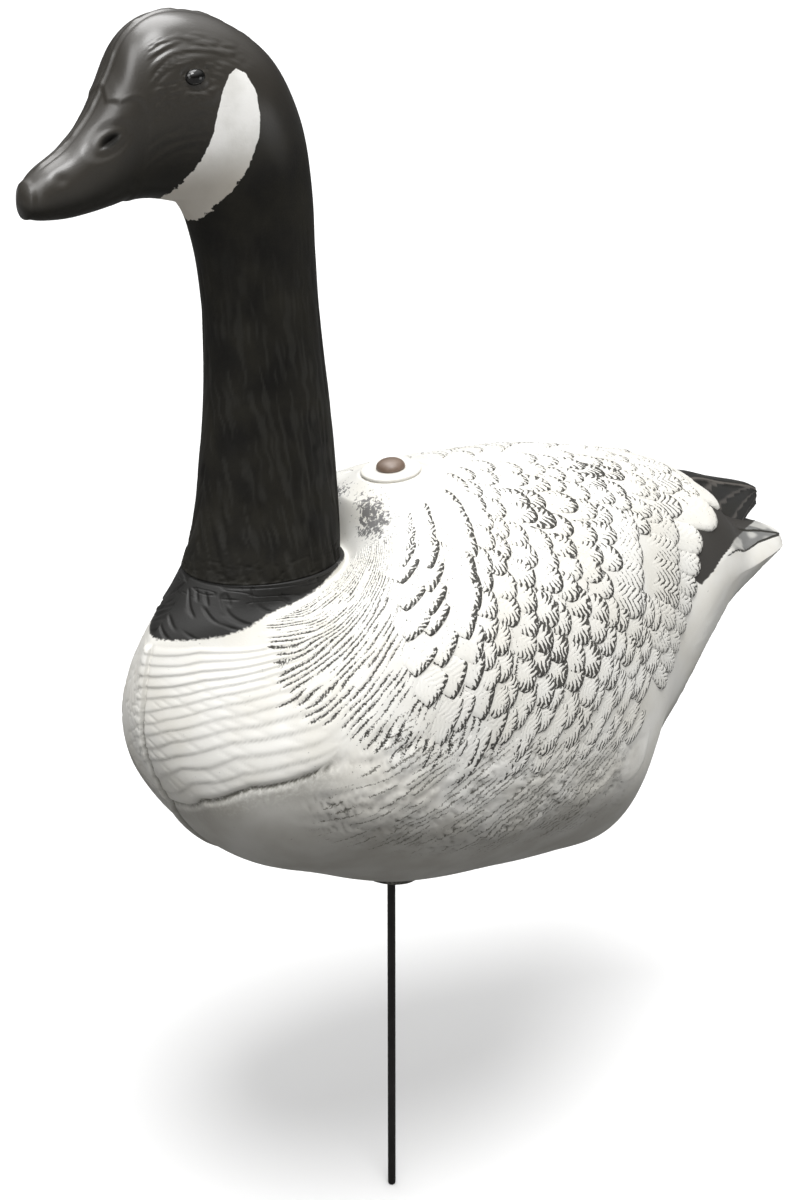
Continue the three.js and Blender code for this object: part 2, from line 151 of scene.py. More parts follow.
# Rings of the body's two pieces, which meet in the belly crease, and the steps round body and head as
# spans of (end angle, step).
SPLIT_SECTION, TAIL_SECTION = 5.15, len(BODY_SECTIONS) - 1
FRONT_RINGS, REAR_RINGS = 200, 205
BODY_SPANS = ((8, 1.0), (90, 1.05), (170, 0.85), (180, 0.4))
HEAD_SPANS = ((8, 1.6), (34, 2.0), (130, 1.3), (172, 2.2), (180, 1.8))
NECK_END, NECK_RINGS, HEAD_RINGS = 6, 170, 210

# Cone on the back that carries the washer: height on the axis, tilt, flat radius and fall beyond it.
SEAT_HEIGHT, SEAT_TILT, SEAT_RADIUS, SEAT_FALL = 584.4, 6.0, 22.4, 0.62
# Heights of the washer's top face and the cap's foot on the stake's axis.
WASHER_TOP, CAP_FOOT = 587.2, 587.5
# Left eye bead: middle, half depth and turn about the upright axis.
EYE_MIDDLE, EYE_DEPTH, EYE_YAW = (-163.0, -29.6, 869.5), 5.2, 12
# Boss under the belly: tilt, height and outline as (radius, z).
BOSS_TILT, BOSS_HEIGHT = -7.0, 290.2
BOSS_PROFILE = ((0, 12), (20.2, 12), (21.6, 11), (22, 9), (22, -14.2), (21.4, -15.4), (20, -16), (6.6, -16),
                (6.0, -16.6), (4.6, -16.6), (0, -16.6))

# Grey wash behind the neck: middle and reach, as (section number, angle).
WASH_MIDDLE, WASH_REACH = (3.4, 19), (1.2, 17)

# Paints that have no setting of their own, as linear values.
TAIL_GREY = (0.17, 0.17, 0.165)
# SHEEN_BLACK is a painted sheen: a lighter black on the glossy upper head.
SHEEN_BLACK = (0.043, 0.038, 0.031)
STREAK_BLACK = (0.033, 0.032, 0.028)
RUBBED_BLACK = (0.105, 0.095, 0.085)
CHEEK_WHITE = (0.95, 0.94, 0.91)
# CHEEK_SHADE is painted shade on the lower part of the cheek patch.
CHEEK_SHADE = (0.36, 0.32, 0.26)

CAMERA_PLACE, CAMERA_TURN = (-0.8624, -1.1972, 1.0801), (68.2, 0.0, -36.0)
KEY_PLACE, KEY_ANGLE = (-0.45, -0.85, 2.3), 26.0
# Soft lights: name, place, target, size, and whether they add sheen only.
SOFT_LIGHTS = (
    ("fill_light", (-2.2, -1.2, 1.3), (-0.05, 0, 0.55), 1.4, False),
    ("side_light", (1.7, -1.5, 0.45), (0.2, -0.1, 0.48), 1.0, False),
    ("back_light", (0.0, 0.4, 2.3), (-0.05, 0, 0.7), 1.4, True),
    ("sheen_light", (-1.7, -0.3, 2.3), (-0.05, 0, 0.7), 1.4, True),
)


def lookup(table, key):
    """Linear reading of a two-column table."""
    return np.interp(key, [row[0] for row in table], [row[1] for row in table])


def smooth(low, high, value):
    """Soft step from 0 at low to 1 at high."""
    share = np.clip((value - low) / (high - low), 0.0, 1.0)
    return share * share * (3.0 - 2.0 * share)


def hump(value, low, rise, fall, high):
    """1 between rise and fall, softly down to 0 at low and high."""
    return smooth(low, rise, value) * (1 - smooth(fall, high, value))


def bell(value, width):
    return np.exp(-(value / width) ** 2)


def unit(vectors):
    return vectors / np.maximum(np.linalg.norm(vectors, axis=-1, keepdims=True), 1e-9)


def scatter(index, seed):
    """Fixed values from 0 to 1 for whole numbers."""
    whole = np.asarray(index).astype(np.int64)
    mixed = (whole * 374761393 + seed * 974634533) & 0xFFFFFFFF
    mixed = ((mixed ^ (mixed >> 13)) * 1274126177) & 0xFFFFFFFF
    return ((mixed ^ (mixed >> 16)) & 0xFFFF) / 65535.0


def hills(x, y, seed):
    """Soft random hills from -1 to 1 over a plane, the same on every run."""
    x, y = np.broadcast_arrays(np.asarray(x, float), np.asarray(y, float))
    column, row = np.floor(x).astype(np.int64), np.floor(y).astype(np.int64)
    across, up = x - column, y - row
    across = across * across * (3 - 2 * across)
    up = up * up * (3 - 2 * up)

    def corner(i, j):
        return scatter(i * 7919 + j * 104729, seed) * 2 - 1

    low = corner(column, row) * (1 - across) + corner(column + 1, row) * across
    high = corner(column, row + 1) * (1 - across) + corner(column + 1, row + 1) * across
    return low * (1 - up) + high * up


def section_at(rows, position):
    """Smooth interpolation of a section table at fractional row numbers."""
    last = len(rows) - 1
    clamped = np.clip(position, 0, last - 1e-9)
    index = np.floor(clamped).astype(int)
    t = (clamped - index)[..., None]
    padded = np.vstack([2 * rows[0] - rows[1], rows, 2 * rows[-1] - rows[-2]])
    p0, p1, p2, p3 = padded[index], padded[index + 1], padded[index + 2], padded[index + 3]
    square, cube = 2 * p0 - 5 * p1 + 4 * p2 - p3, 3 * p1 - p0 - 3 * p2 + p3
    return p1 + 0.5 * ((p2 - p0) * t + square * t ** 2 + cube * t ** 3)


def loft_point(rows, position, degrees):
    """Points in millimetres on a form's left side; 0 degrees is the back line, 180 the belly line."""
    position, degrees = np.broadcast_arrays(np.asarray(position, float), np.asarray(degrees, float))
    table = section_at(rows, position)
    back_x, back_z, belly_x, belly_z, width, level, back_full, belly_full, edge = np.moveaxis(table, -1, 0)
    centre_x = back_x + (belly_x - back_x) * level
    centre_z = back_z + (belly_z - back_z) * level
    angle = np.radians(degrees)
    cosine = np.cos(angle)
    toward_back = cosine >= 0
    power = 2 / np.where(toward_back, back_full, belly_full)
    reach = np.abs(cosine) ** (power * (1 + edge))
    side = width * np.abs(np.sin(angle)) ** power
    end_x = np.where(toward_back, back_x, belly_x)
    end_z = np.where(toward_back, back_z, belly_z)
    return np.stack([centre_x + (end_x - centre_x) * reach, -side, centre_z + (end_z - centre_z) * reach], -1)


def loft_frame(rows, position, degrees, turned=1.0):
    """Point, step of one section, step of one degree and outward normal."""
    position, degrees = np.broadcast_arrays(np.asarray(position, float), np.asarray(degrees, float))
    step, pole = 0.02, 0.4
    low, high = (np.clip(degrees + way, 0.05, 179.95) for way in (-1.0, 1.0))
    before, after = (np.clip(position + way, 0, len(rows) - 1) for way in (-step, step))
    inner = np.clip(degrees, pole, 180 - pole)
    along = (loft_point(rows, after, inner) - loft_point(rows, before, inner)) / (after - before)[..., None]
    around = (loft_point(rows, position, high) - loft_point(rows, position, low)) / (high - low)[..., None]
    normal = unit(-turned * np.cross(along, around))
    flat = (degrees <= pole) | (degrees >= 180 - pole)
    normal[..., 1] = np.where(flat, 0.0, normal[..., 1])
    return loft_point(rows, position, degrees), along, around, unit(normal)


class Skin:
    """Both sides of a fine grid whose left side is given, with arc lengths and side signs."""

    def __init__(self, half_point):
        rings, samples = half_point.shape[:2]
        self.half, self.columns = samples - 1, 2 * samples - 2
        self.order = np.concatenate([np.arange(samples), np.arange(samples - 2, 0, -1)])
        self.sign = np.concatenate([np.ones(samples), -np.ones(samples - 2)])
        self.half_run, self.half_girth = np.zeros((rings, samples)), np.zeros((rings, samples))
        self.half_run[1:] = np.cumsum(np.linalg.norm(np.diff(half_point, axis=0), axis=-1), axis=0)
        self.half_girth[:, 1:] = np.cumsum(np.linalg.norm(np.diff(half_point, axis=1), axis=-1), axis=1)
        self.run, self.girth = self.both(self.half_run), self.both(self.half_girth)
        self.full_girth = np.broadcast_to(self.half_girth[:, -1:], self.run.shape)
        self.side = np.broadcast_to(self.sign, self.run.shape)
        # Keeps the noise of the two sides apart.
        self.apart = self.side * 9
        self.point = self.both(half_point)

    def both(self, half):
        """Values of the left side on both sides; points and normals are mirrored."""
        whole = half[:, self.order]
        if half.ndim == 3:
            whole = whole * np.stack([np.ones(self.columns), self.sign, np.ones(self.columns)], -1)
        return whole

    def part(self, start, end):
        """The same skin between two ring numbers."""
        piece = copy.copy(self)
        for key, value in vars(self).items():
            if isinstance(value, np.ndarray) and value.ndim > 1:
                setattr(piece, key, value[start:end])
        return piece

    def raised(self, height):
        return self.point + self.normal * height[..., None]


def loft_skin(rows, positions, degrees, turned=1.0):
    """Skin over a lofted form, with section numbers, angles, section steps and outward normals."""
    position, angle = np.meshgrid(positions, degrees, indexing="ij")
    point, along, _, normal = loft_frame(rows, position, angle, turned)
    skin = Skin(point)
    skin.position, skin.degrees, skin.normal = skin.both(position), skin.both(angle), skin.both(normal)
    skin.scale = skin.both(np.linalg.norm(along, axis=-1))
    return skin


def grid_faces(rows, columns, turned):
    """Quads between the rings of a closed grid, with the ring and column of each corner."""
    ring, column = np.meshgrid(np.arange(rows - 1), np.arange(columns), indexing="ij")
    ring, column = ring.ravel(), column.ravel()
    corners = [(ring, column), (ring, column + 1), (ring + 1, column + 1), (ring + 1, column)]
    if turned:
        corners = corners[::-1]
    return np.stack([a for a, _ in corners], 1), np.stack([b for _, b in corners], 1)


def skin_object(name, skin, points, values, material, caps, turned=False):
    """Mesh object over a skin's grid. Caps are the closing points at the first and last ring, or None."""
    rows, columns = points.shape[:2]
    rings, cols = grid_faces(rows, columns, turned)
    faces = (rings * columns + cols % columns).tolist()
    left = cols[:, :2].min(axis=1, keepdims=True) < skin.half
    folded = np.where(left, cols, 2 * skin.half - cols)
    side = np.where(left, 1.0, -1.0)
    uv = [np.stack([skin.half_run[rings, folded], side * skin.half_girth[rings, folded]], -1).reshape(-1, 2)]
    ends = [(ring, cap) for ring, cap in ((0, caps[0]), (rows - 1, caps[1])) if cap is not None]
    for count, (ring, _) in enumerate(ends):
        order = -1 if (ring == 0) != turned else 1
        near = ring * columns + np.arange(columns)
        far = ring * columns + (np.arange(columns) + 1) % columns
        here = np.stack([skin.run[ring], skin.side[ring] * skin.girth[ring]], -1)
        following = np.roll(here, -1, axis=0)
        centre = np.full(columns, rows * columns + count)
        faces += np.stack([centre, *(near, far)[::order]], 1).tolist()
        uv.append(np.stack([(here + following) / 2, *(here, following)[::order]], 1).reshape(-1, 2))
    flat = {}
    for key, value in values.items():
        closing = [value[ring].mean() for ring, _ in ends]
        flat[key] = np.concatenate([np.broadcast_to(value, (rows, columns)).ravel(), closing])
    vertices = np.vstack([points.reshape(-1, 3), *(cap for _, cap in ends)])
    return plain_object(name, vertices, faces, np.vstack(uv), flat, material)


def plain_object(name, vertices, faces, uv, values, material):
    """Mesh object from millimetre vertices, with one UV map and number attributes on its points."""
    mesh = bpy.data.meshes.new(name)
    mesh.from_pydata((np.asarray(vertices) * MM).tolist(), [], [list(map(int, face)) for face in faces])
    layer = mesh.uv_layers.new(name="UVMap")
    layer.data.foreach_set("uv", (np.asarray(uv, np.float32) * MM).ravel())
    for key, value in values.items():
        store(mesh, key, value)
    mesh.polygons.foreach_set("use_smooth", [True] * len(mesh.polygons))
    mesh.materials.append(material)
    mesh.validate()
    mesh.update()
    return in_scene(name, mesh)


def store(mesh, key, values, kind="FLOAT"):
    """Attribute on a mesh's points: numbers, or vectors of three."""
    layer = mesh.attributes.new(key, kind, "POINT")
    layer.data.foreach_set("value" if kind == "FLOAT" else "vector", np.asarray(values, np.float32).ravel())


def in_scene(name, data):
    made = bpy.data.objects.new(name, data)
    bpy.context.scene.collection.objects.link(made)
    return made


def inside_distance(corners, x, y):
    """Signed distance to a closed outline, positive inside."""
    corners = np.asarray(corners, float)
    following = np.roll(corners, -1, axis=0)
    nearest = np.full(x.shape, 1e9)
    crossings = np.zeros(x.shape, int)
    for (ax, ay), (bx, by) in zip(corners, following):
        dx, dy = bx - ax, by - ay
        share = np.clip(((x - ax) * dx + (y - ay) * dy) / (dx * dx + dy * dy), 0, 1)
        nearest = np.minimum(nearest, np.hypot(x - ax - share * dx, y - ay - share * dy))
        if dy != 0:
            crossings += ((ay > y) != (by > y)) & (x < ax + dx * (y - ay) / dy)
    return np.where(crossings % 2 == 1, nearest, -nearest)


def stretched_angles(spans):
    """Angles from 0 to 180 degrees from spans of (end angle, step)."""
    angles, at = [0.0], 0.0
    for end, step in spans:
        count = max(1, round((end - at) / step))
        angles.extend(at + (end - at) * (i + 1) / count for i in range(count))
        at = end
    return np.array(angles)


# Relief on the body, in millimetres


def collar_distance(skin):
    """How far a place lies inside the black collar."""
    return (lookup(COLLAR_EDGE, skin.degrees) - skin.position) * skin.scale


def chest_bands(skin, settings):
    """Overlapping bands of small feathers across the chest, with staggered cuts: height, and dirt with
    painted shade in each band's groove.
    """
    position, degrees, girth = skin.position, skin.degrees, skin.girth
    top, bottom = lookup(CHEST_TOP, degrees), lookup(CREASE_LINE, degrees)
    wobble = 0.25 * hills(girth / 26 + skin.apart, position * 2.0, 11)
    place = (position - top) / (bottom - top) * settings.chest_bands + wobble
    index = np.floor(place)
    share = place - index
    reach = smooth(100, 119, degrees + 3 * hills(place * 1.7, skin.side, 12))
    reach = reach * smooth(-0.2, 0.5, place) * smooth(0.02, 0.16, bottom - position)
    depth = settings.chest_depth / MM * (0.7 + 0.6 * scatter(index, 13))
    pitch = 8.5 + 3.0 * scatter(index, 14)
    cell = girth / pitch + scatter(index, 15) * 5 + 0.3 * hills(girth / 15, index, 16)
    off = np.abs(cell - np.round(cell)) * pitch
    chosen = scatter(np.round(cell) * 31 + index * 7, 17) > 0.45
    cut = bell(off, 0.9) * hump(share, 0.05, 0.3, 0.8, 0.95) * chosen
    dirt = 0.5 * hump(share, 0.86, 0.97, 0.985, 1.0) + 0.35 * smooth(0.12, 0.0, share)
    dirt = dirt * (0.4 + 0.6 * smooth(-0.4, 0.5, hills(girth / 18, place, 18)))
    low = smooth(2.0, 6.0, place)
    height = depth * hump(share, 0.0, 0.78, 0.84, 1.0) - 0.6 * cut * low
    return reach * height, 0.7 * reach * dirt * (0.15 + 0.85 * low)


def crease(skin):
    """Deep fold where the chest meets the belly: height, and dirt with painted shade in and below the fold.
    """
    off = (skin.position - lookup(CREASE_LINE, skin.degrees)) * skin.scale
    off = off + 1.2 * hills(skin.girth / 12, skin.side * 3, 21)
    reach = smooth(103, 118, skin.degrees) * (1 - 0.45 * smooth(150, 178, skin.degrees))
    dirt = 1.1 * bell(off, 1.3) + 0.5 * hump(off, -1.5, 1.0, 2, 22)
    return reach * (1.2 * hump(off, 0, 14, 18, 60) - 2.8 * bell(off, 2.4)), reach * dirt


def shoulder_fan(skin):
    """Long carved strokes from behind the neck over the shoulder: height, stroke phase and swell."""
    position, degrees, girth = skin.position, skin.degrees, skin.girth
    far = skin.side * 40
    bend = 0.006 * np.maximum(degrees - 92, 0)
    bend = bend + 0.024 * np.maximum(degrees - 100, 0) * (1 - smooth(2.4, 3.7, position))
    wave = 0.11 * hills(girth / 34, position * 1.3 + far, 31)
    wave = wave + 0.045 * hills(girth / 12, position * 4 + far, 37)
    phase = (position + bend + wave) / FAN_SPACING
    index = np.floor(phase)
    centre = np.abs(phase - index - 0.5) * 2
    breaks = 0.8 * hills(girth / 15 + 60 * scatter(index, 32), index + far, 33)
    breaks = breaks + 0.5 * hills(girth / 6, phase * 1.1 + far, 34)
    frayed = 4 * (scatter(index, 36) - 0.5) + 2 * hills(girth / 6, phase, 35)
    reach = smooth(2.0, 8, -collar_distance(skin))
    reach = reach * (1 - smooth(-3.0, 1.5, degrees - lookup(FAN_END, position) + frayed))
    reach = reach * smooth(22, 40, degrees) * (1 - smooth(9.0, 10.0, position))
    dense = 0.1 * smooth(80, 100, degrees) * (1 - smooth(4.4, 5.2, position))
    swell = np.minimum(0.8 * breaks + 0.16 + dense, 0.1 + 0.2 * dense) - 1.2 * (1 - reach)
    return reach * 0.2 - 0.8 * smooth(0.55, 0.95, 1 - centre + swell), phase, swell


def flank_ribs(skin):
    """Short upright cracks on the flank and past the crease: phase and swell, read like the fan's."""
    run, girth = skin.run, skin.girth
    slope = run / 6.3 + girth / 64 + 0.6 * hills(girth / 15, run / 26 + skin.apart, 57)
    index = np.floor(slope)
    breaks = hills(girth / 9 + 40 * scatter(index, 58), index + skin.apart, 59)
    reach = hump(skin.degrees, 84, 94, 122, 142) * hump(skin.position, 5.2, 5.7, 9.4, 11.4)
    return slope, np.minimum(0.9 * breaks - 0.02, 0.05) - 1.2 * (1 - reach)


def seat_pad(points):
    """Raises the back into the cone that carries the washer."""
    x, y, z = np.moveaxis(points, -1, 0)
    radius = np.hypot(x, y)
    cone = SEAT_HEIGHT + x * math.tan(math.radians(SEAT_TILT))
    cone = cone - np.maximum(radius - SEAT_RADIUS, 0) * SEAT_FALL
    lift = 0.5 * (cone - z + np.sqrt((cone - z) ** 2 + 2.2 ** 2)) - 0.12
    raised = points.copy()
    raised[..., 2] = z + np.maximum(lift * (1 - smooth(36, 44, radius)) * (z > 500), 0)
    return raised


def seam_lip(skin):
    """Raised joint line down the chest and belly, and the fine one along the back: height, and dirt with
    painted shade in the groove beside it.
    """
    position = skin.position
    off = skin.full_girth - skin.girth
    ragged = 1 + 0.12 * hills(skin.run / 14, skin.side * 0, 41)
    front = (1 - smooth(2.4, 3.6, off)) * hump(position, 1.95, 2.2, 6.5, 7.2)
    groove = bell(off - 4.3, 1.1) * hump(position, 1.95, 2.2, 6.0, 7.2)
    back = bell(skin.girth, 0.9) * hump(position, 1.5, 3, 13.5, 14)
    return ragged * 2.0 * front - 1.3 * groove + 0.45 * back, 1.1 * groove * smooth(2.6, 4.2, position)


def flank_and_tail(skin):
    """Ripples on the flank, lobes over the leg and feathers of the tail: height, ink, and dirt with painted
    shade in the ripples' troughs.
    """
    girth, run, degrees, position = skin.girth, skin.run, skin.degrees, skin.position
    low = hump(degrees, 88, 98, 118, 134) * hump(position, 4.9, 5.6, 9.6, 11)
    ripple = np.abs(hills(run / 5.2 + 0.4 * hills(girth / 9, run / 14, 51), girth / 17, 52))
    rungs = np.abs(hills(run / 11, girth / 3.1, 53))
    height = low * (1.6 * smooth(0.0, 0.35, ripple) + 0.8 * smooth(0.0, 0.3, rungs) - 1.0)
    off = (degrees - lookup(LEG_LINE, position)) * 2.4
    on_line = hump(position, 6.9, 7.2, 9.2, 9.8)
    height -= 0.6 * bell(off, 0.9) * on_line
    ink = 0.35 * bell(off, 1.0) * on_line
    for start, end, reach in LEG_LOBES:
        middle, half = (start + end) / 2, (end - start) / 2
        inside = np.clip(1 - ((position - middle) / half) ** 2, 0, 1)
        edge = (degrees - (reach - 9 * (1 - np.sqrt(inside)))) * 2.3
        height += 2.0 * (inside > 0) * hump(edge, -26, -4, -0.8, 0.4) * smooth(0, 0.12, inside)
        ink = np.maximum(ink, 0.5 * (inside > 0.02) * bell(edge - 0.4, 0.9))
    dirt = low * (0.9 * smooth(0.08, 0.0, ripple) + 0.5 * smooth(0.08, 0.0, rungs))
    dirt = dirt * smooth(-0.1, 0.5, hills(run / 30, girth / 24, 56) + 0.25)
    rear = smooth(11.6, 13.0, position) * smooth(90, 100, degrees)
    height += rear * 0.45 * np.abs(hills(girth / 5.5, run / 40, 54))
    per_degree = skin.full_girth / 180
    for line, start, full, depth, foot, width in TAIL_LINES:
        off = (degrees - lookup(line, position)) * per_degree
        reach = hump(position, start, full, 17.4, 17.9)
        height += reach * depth * hump(off, foot, -0.6, -0.6, 0.2)
        ink = np.maximum(ink, reach * bell(off - 0.3, width))
    under = smooth(12.5, 13.5, position) * smooth(100, 112, degrees)
    height += 0.3 * under * np.abs(hills(girth / 2.6, run / 50, 55))
    return height, ink, dirt


def body_surface(skin, settings):
    """Raised points and the paint values of the body skin."""
    position, degrees, girth, run = skin.position, skin.degrees, skin.girth, skin.run
    bands, band_dirt_and_shade = chest_bands(skin, settings)
    fold, fold_dirt_and_shade = crease(skin)
    fan, fan_phase, fan_swell = shoulder_fan(skin)
    rib_phase, rib_swell = flank_ribs(skin)
    lip, lip_dirt_and_shade = seam_lip(skin)
    flank, flank_ink, flank_dirt_and_shade = flank_and_tail(skin)
    uneven = 0.22 * hills(run / 34, girth / 30 + skin.side * 7, 61)
    collar = collar_distance(skin)
    strokes = -0.9 * smooth(0.1, 0.7, hills(girth / 3.6 + skin.apart, run / 11, 62))
    cracks = np.abs(hills(girth / 19 + skin.apart, run / 3.4, 63)) * smooth(0, 5, run)
    strokes -= 0.5 * smooth(0.13, 0.02, cracks) * (1 - smooth(8, 17, run))
    height = bands + fold + fan + lip + flank + uneven + smooth(-1, 3, collar) * strokes
    height = height * smooth(0.0, 2.0, run)
    per_degree = skin.full_girth / 180
    beyond = smooth(-1.4, -1.1, position - lookup(WING_EDGE, degrees))
    lower = (lookup(TAIL_LINE_LOWER, position) - degrees) * per_degree
    grey = beyond * smooth(13.4, 14.2, position) * smooth(-0.5, 1.0, lower)
    grey = grey * (0.55 + 0.45 * smooth(-0.2, 0.4, hills(run / 14, girth / 9, 64)))
    past_crease = smooth(-0.02, 0.12, position - lookup(CREASE_LINE, degrees)) * smooth(104, 122, degrees)
    # Belly: grey paint past the crease, with painted shade where the surface faces down, low on the chest and
    # below the tail's lower line.
    down = smooth(0.0, -0.8, skin.normal[..., 2])
    belly = np.maximum.reduce([
        0.6 * past_crease + 0.15 * down * past_crease,
        0.62 * down,
        0.42 * smooth(500, 385, skin.point[..., 2]) * smooth(5.5, 5.0, position),
        0.17 * smooth(12.4, 13.6, position) * smooth(0.0, -3.0, lower)])
    values = {
        "black": collar,
        "ink": flank_ink,
        # Dirt and painted shade in the band grooves, the crease, the seam groove and the flank's troughs.
        "dirt": np.maximum.reduce([band_dirt_and_shade, fold_dirt_and_shade, lip_dirt_and_shade, flank_dirt_and_shade]),
        "fan_phase": fan_phase,
        "fan_swell": fan_swell,
        "rib_phase": rib_phase,
        "rib_swell": rib_swell,
        "wash": np.exp(-(((position - WASH_MIDDLE[0]) / WASH_REACH[0]) ** 2
                         + ((degrees - WASH_MIDDLE[1]) / WASH_REACH[1]) ** 2)),
        # Dark paint on top of the tail, and painted shadow below the folded wing tips.
        "dusk": beyond * (1 - smooth(-1.0, 1.0, (degrees - lookup(DUSK_EDGE, position)) * per_degree)),
        "tail_grey": grey * (1 - 0.8 * smooth(16.6, 17.6, position)),
        "belly": belly,
    }
    return seat_pad(skin.raised(height)), values


# Shader building


class Value:
    """A node's output that can be used in plain sums."""

    def __init__(self, nodes, socket):
        self.nodes, self.socket = nodes, socket

    def __add__(self, other):
        return self.nodes.math("ADD", self, other)

    def __sub__(self, other):
        return self.nodes.math("SUBTRACT", self, other)

    def __mul__(self, other):
        return self.nodes.math("MULTIPLY", self, other)

    def __abs__(self):
        return self.nodes.math("ABSOLUTE", self)


class Nodes:
    """Short way to add nodes to a material, a node group or a geometry tree."""

    def __init__(self, tree):
        self.tree = tree

    def feed(self, socket, value):
        """Gives an input a value, a colour or another node's output."""
        value = getattr(value, "socket", value)
        if isinstance(value, bpy.types.NodeSocket):
            self.tree.links.new(value, socket)
        elif socket.type == "RGBA":
            socket.default_value = (*value, 1)
        else:
            socket.default_value = value

    def node(self, kind, feeds=(), **settings):
        made = self.tree.nodes.new(kind)
        for key, value in settings.items():
            setattr(made, key, value)
        for key, value in dict(feeds).items():
            self.feed(made.inputs[key], value)
        return made

    def add(self, kind, feeds=(), output=0, **settings):
        """New node, from its inputs by name or number and its settings; gives one of its outputs."""
        return Value(self, self.node(kind, feeds, **settings).outputs[output])

    def math(self, operation, first, second=0.0, clamp=False):
        return self.add("ShaderNodeMath", {0: first, 1: second}, operation=operation, use_clamp=clamp)

    def mix(self, share, first, second):
        return self.add("ShaderNodeMix", {0: share, 6: first, 7: second}, 2, data_type="RGBA")

    def blend(self, share, first, second):
        return self.add("ShaderNodeMix", {0: share, 2: first, 3: second}, 0, data_type="FLOAT")

    def step(self, value, low, high):
        feeds = {"Value": value, "From Min": low, "From Max": high}
        return self.add("ShaderNodeMapRange", feeds, "Result", interpolation_type="SMOOTHSTEP")

    def noise(self, vector, scale, detail=3.0, rough=0.55, warp=0.0):
        feeds = {"Vector": vector, "Scale": scale, "Detail": detail, "Roughness": rough, "Distortion": warp}
        return self.add("ShaderNodeTexNoise", feeds, "Fac")

    def place(self):
        return self.add("ShaderNodeTexCoord", (), "Object")

    def value(self, name):
        return self.add("ShaderNodeAttribute", (), "Fac", attribute_name=name)

    def bump(self, height, distance, strength):
        return self.add("ShaderNodeBump", {"Distance": distance, "Strength": strength, "Height": height})

    def group(self, tree, **values):
        made = self.node("ShaderNodeGroup", node_tree=tree)
        for key, value in values.items():
            self.feed(made.inputs[key.replace("_", " ")], value)
        return [Value(self, socket) for socket in made.outputs]

    def ragged(self, amount, middle, softness, raggedness, scale):
        return self.group(ragged_edge(), Amount=amount, Middle=middle, Softness=softness,
                          Raggedness=raggedness, Speckle_Scale=scale)[0]


def new_group(name, inputs, outputs):
    """Empty shader node group with named number sockets."""
    tree = bpy.data.node_groups.new(name, "ShaderNodeTree")
    for label, default in inputs:
        socket = tree.interface.new_socket(label, in_out="INPUT", socket_type="NodeSocketFloat")
        socket.default_value = default
    for label in outputs:
        tree.interface.new_socket(label, in_out="OUTPUT", socket_type="NodeSocketFloat")
    shade = Nodes(tree)
    given = shade.node("NodeGroupInput").outputs
    values = {label: Value(shade, given[label]) for label, _ in inputs}
    return tree, shade, values, shade.node("NodeGroupOutput")


def moulded_grain():
    """Fine moulded texture and soft blotches that every painted surface shares."""
    tree = bpy.data.node_groups.get("moulded_grain")
    if not tree:
        labels = [("Grain Scale", 900.0), ("Blotch Scale", 22.0)]
        tree, shade, given, out = new_group("moulded_grain", labels, ["Grain", "Blotch"])
        for label, detail in (("Grain", 4.0), ("Blotch", 5.0)):
            shade.feed(out.inputs[label], shade.noise(shade.place(), given[label + " Scale"], detail, 0.5))
    return tree


def ragged_edge():
    """Turns a distance or an amount into a paint mask with a speckled, dry-brushed edge."""
    tree = bpy.data.node_groups.get("ragged_edge")
    if not tree:
        labels = [("Amount", 0.0), ("Middle", 0.5), ("Softness", 0.1), ("Raggedness", 0.3),
                  ("Speckle Scale", 700.0)]
        tree, shade, given, out = new_group("ragged_edge", labels, ["Mask"])
        speckle = shade.noise(shade.place(), given["Speckle Scale"], 3.0, 0.65)
        amount = given["Amount"] + (speckle - 0.5) * given["Raggedness"]
        middle, soft = given["Middle"], given["Softness"]
        shade.feed(out.inputs["Mask"], shade.step(amount, middle - soft, middle + soft))
    return tree


def new_material(name):
    """Empty material with its nodes and its surface shader."""
    material = bpy.data.materials.new(name)
    material.use_nodes = True
    material.node_tree.nodes.clear()
    shade = Nodes(material.node_tree)
    surface = shade.node("ShaderNodeBsdfPrincipled")
    shade.node("ShaderNodeOutputMaterial", {"Surface": surface.outputs[0]})
    return material, shade, surface


def dress(shade, surface, **inputs):
    """Feeds the surface shader's inputs."""
    for key, value in inputs.items():
        shade.feed(surface.inputs[key.replace("_", " ")], value)


def white_base(shade, surface, settings):
    """Gloss of the white parts; gives the grain, the blotches and the cream-blotched white."""
    grain, blotch = shade.group(moulded_grain(), Grain_Scale=800.0, Blotch_Scale=26.0)
    dress(shade, surface, Roughness=shade.blend(blotch, 0.5, 0.68), Specular_IOR_Level=0.4)
    return grain, blotch, shade.mix(shade.step(blotch, 0.35, 0.7), settings.white_paint, settings.cream_paint)


def black_base(shade, surface, settings, blotches):
    """Fine grain of the black parts; gives the blotches and the worn black."""
    grain, blotch = shade.group(moulded_grain(), Grain_Scale=700.0, Blotch_Scale=blotches)
    dress(shade, surface, Normal=shade.bump(grain, 0.0004, 0.35))
    return blotch, shade.mix(shade.step(blotch, 0.3, 0.75), settings.black_paint, settings.worn_black)


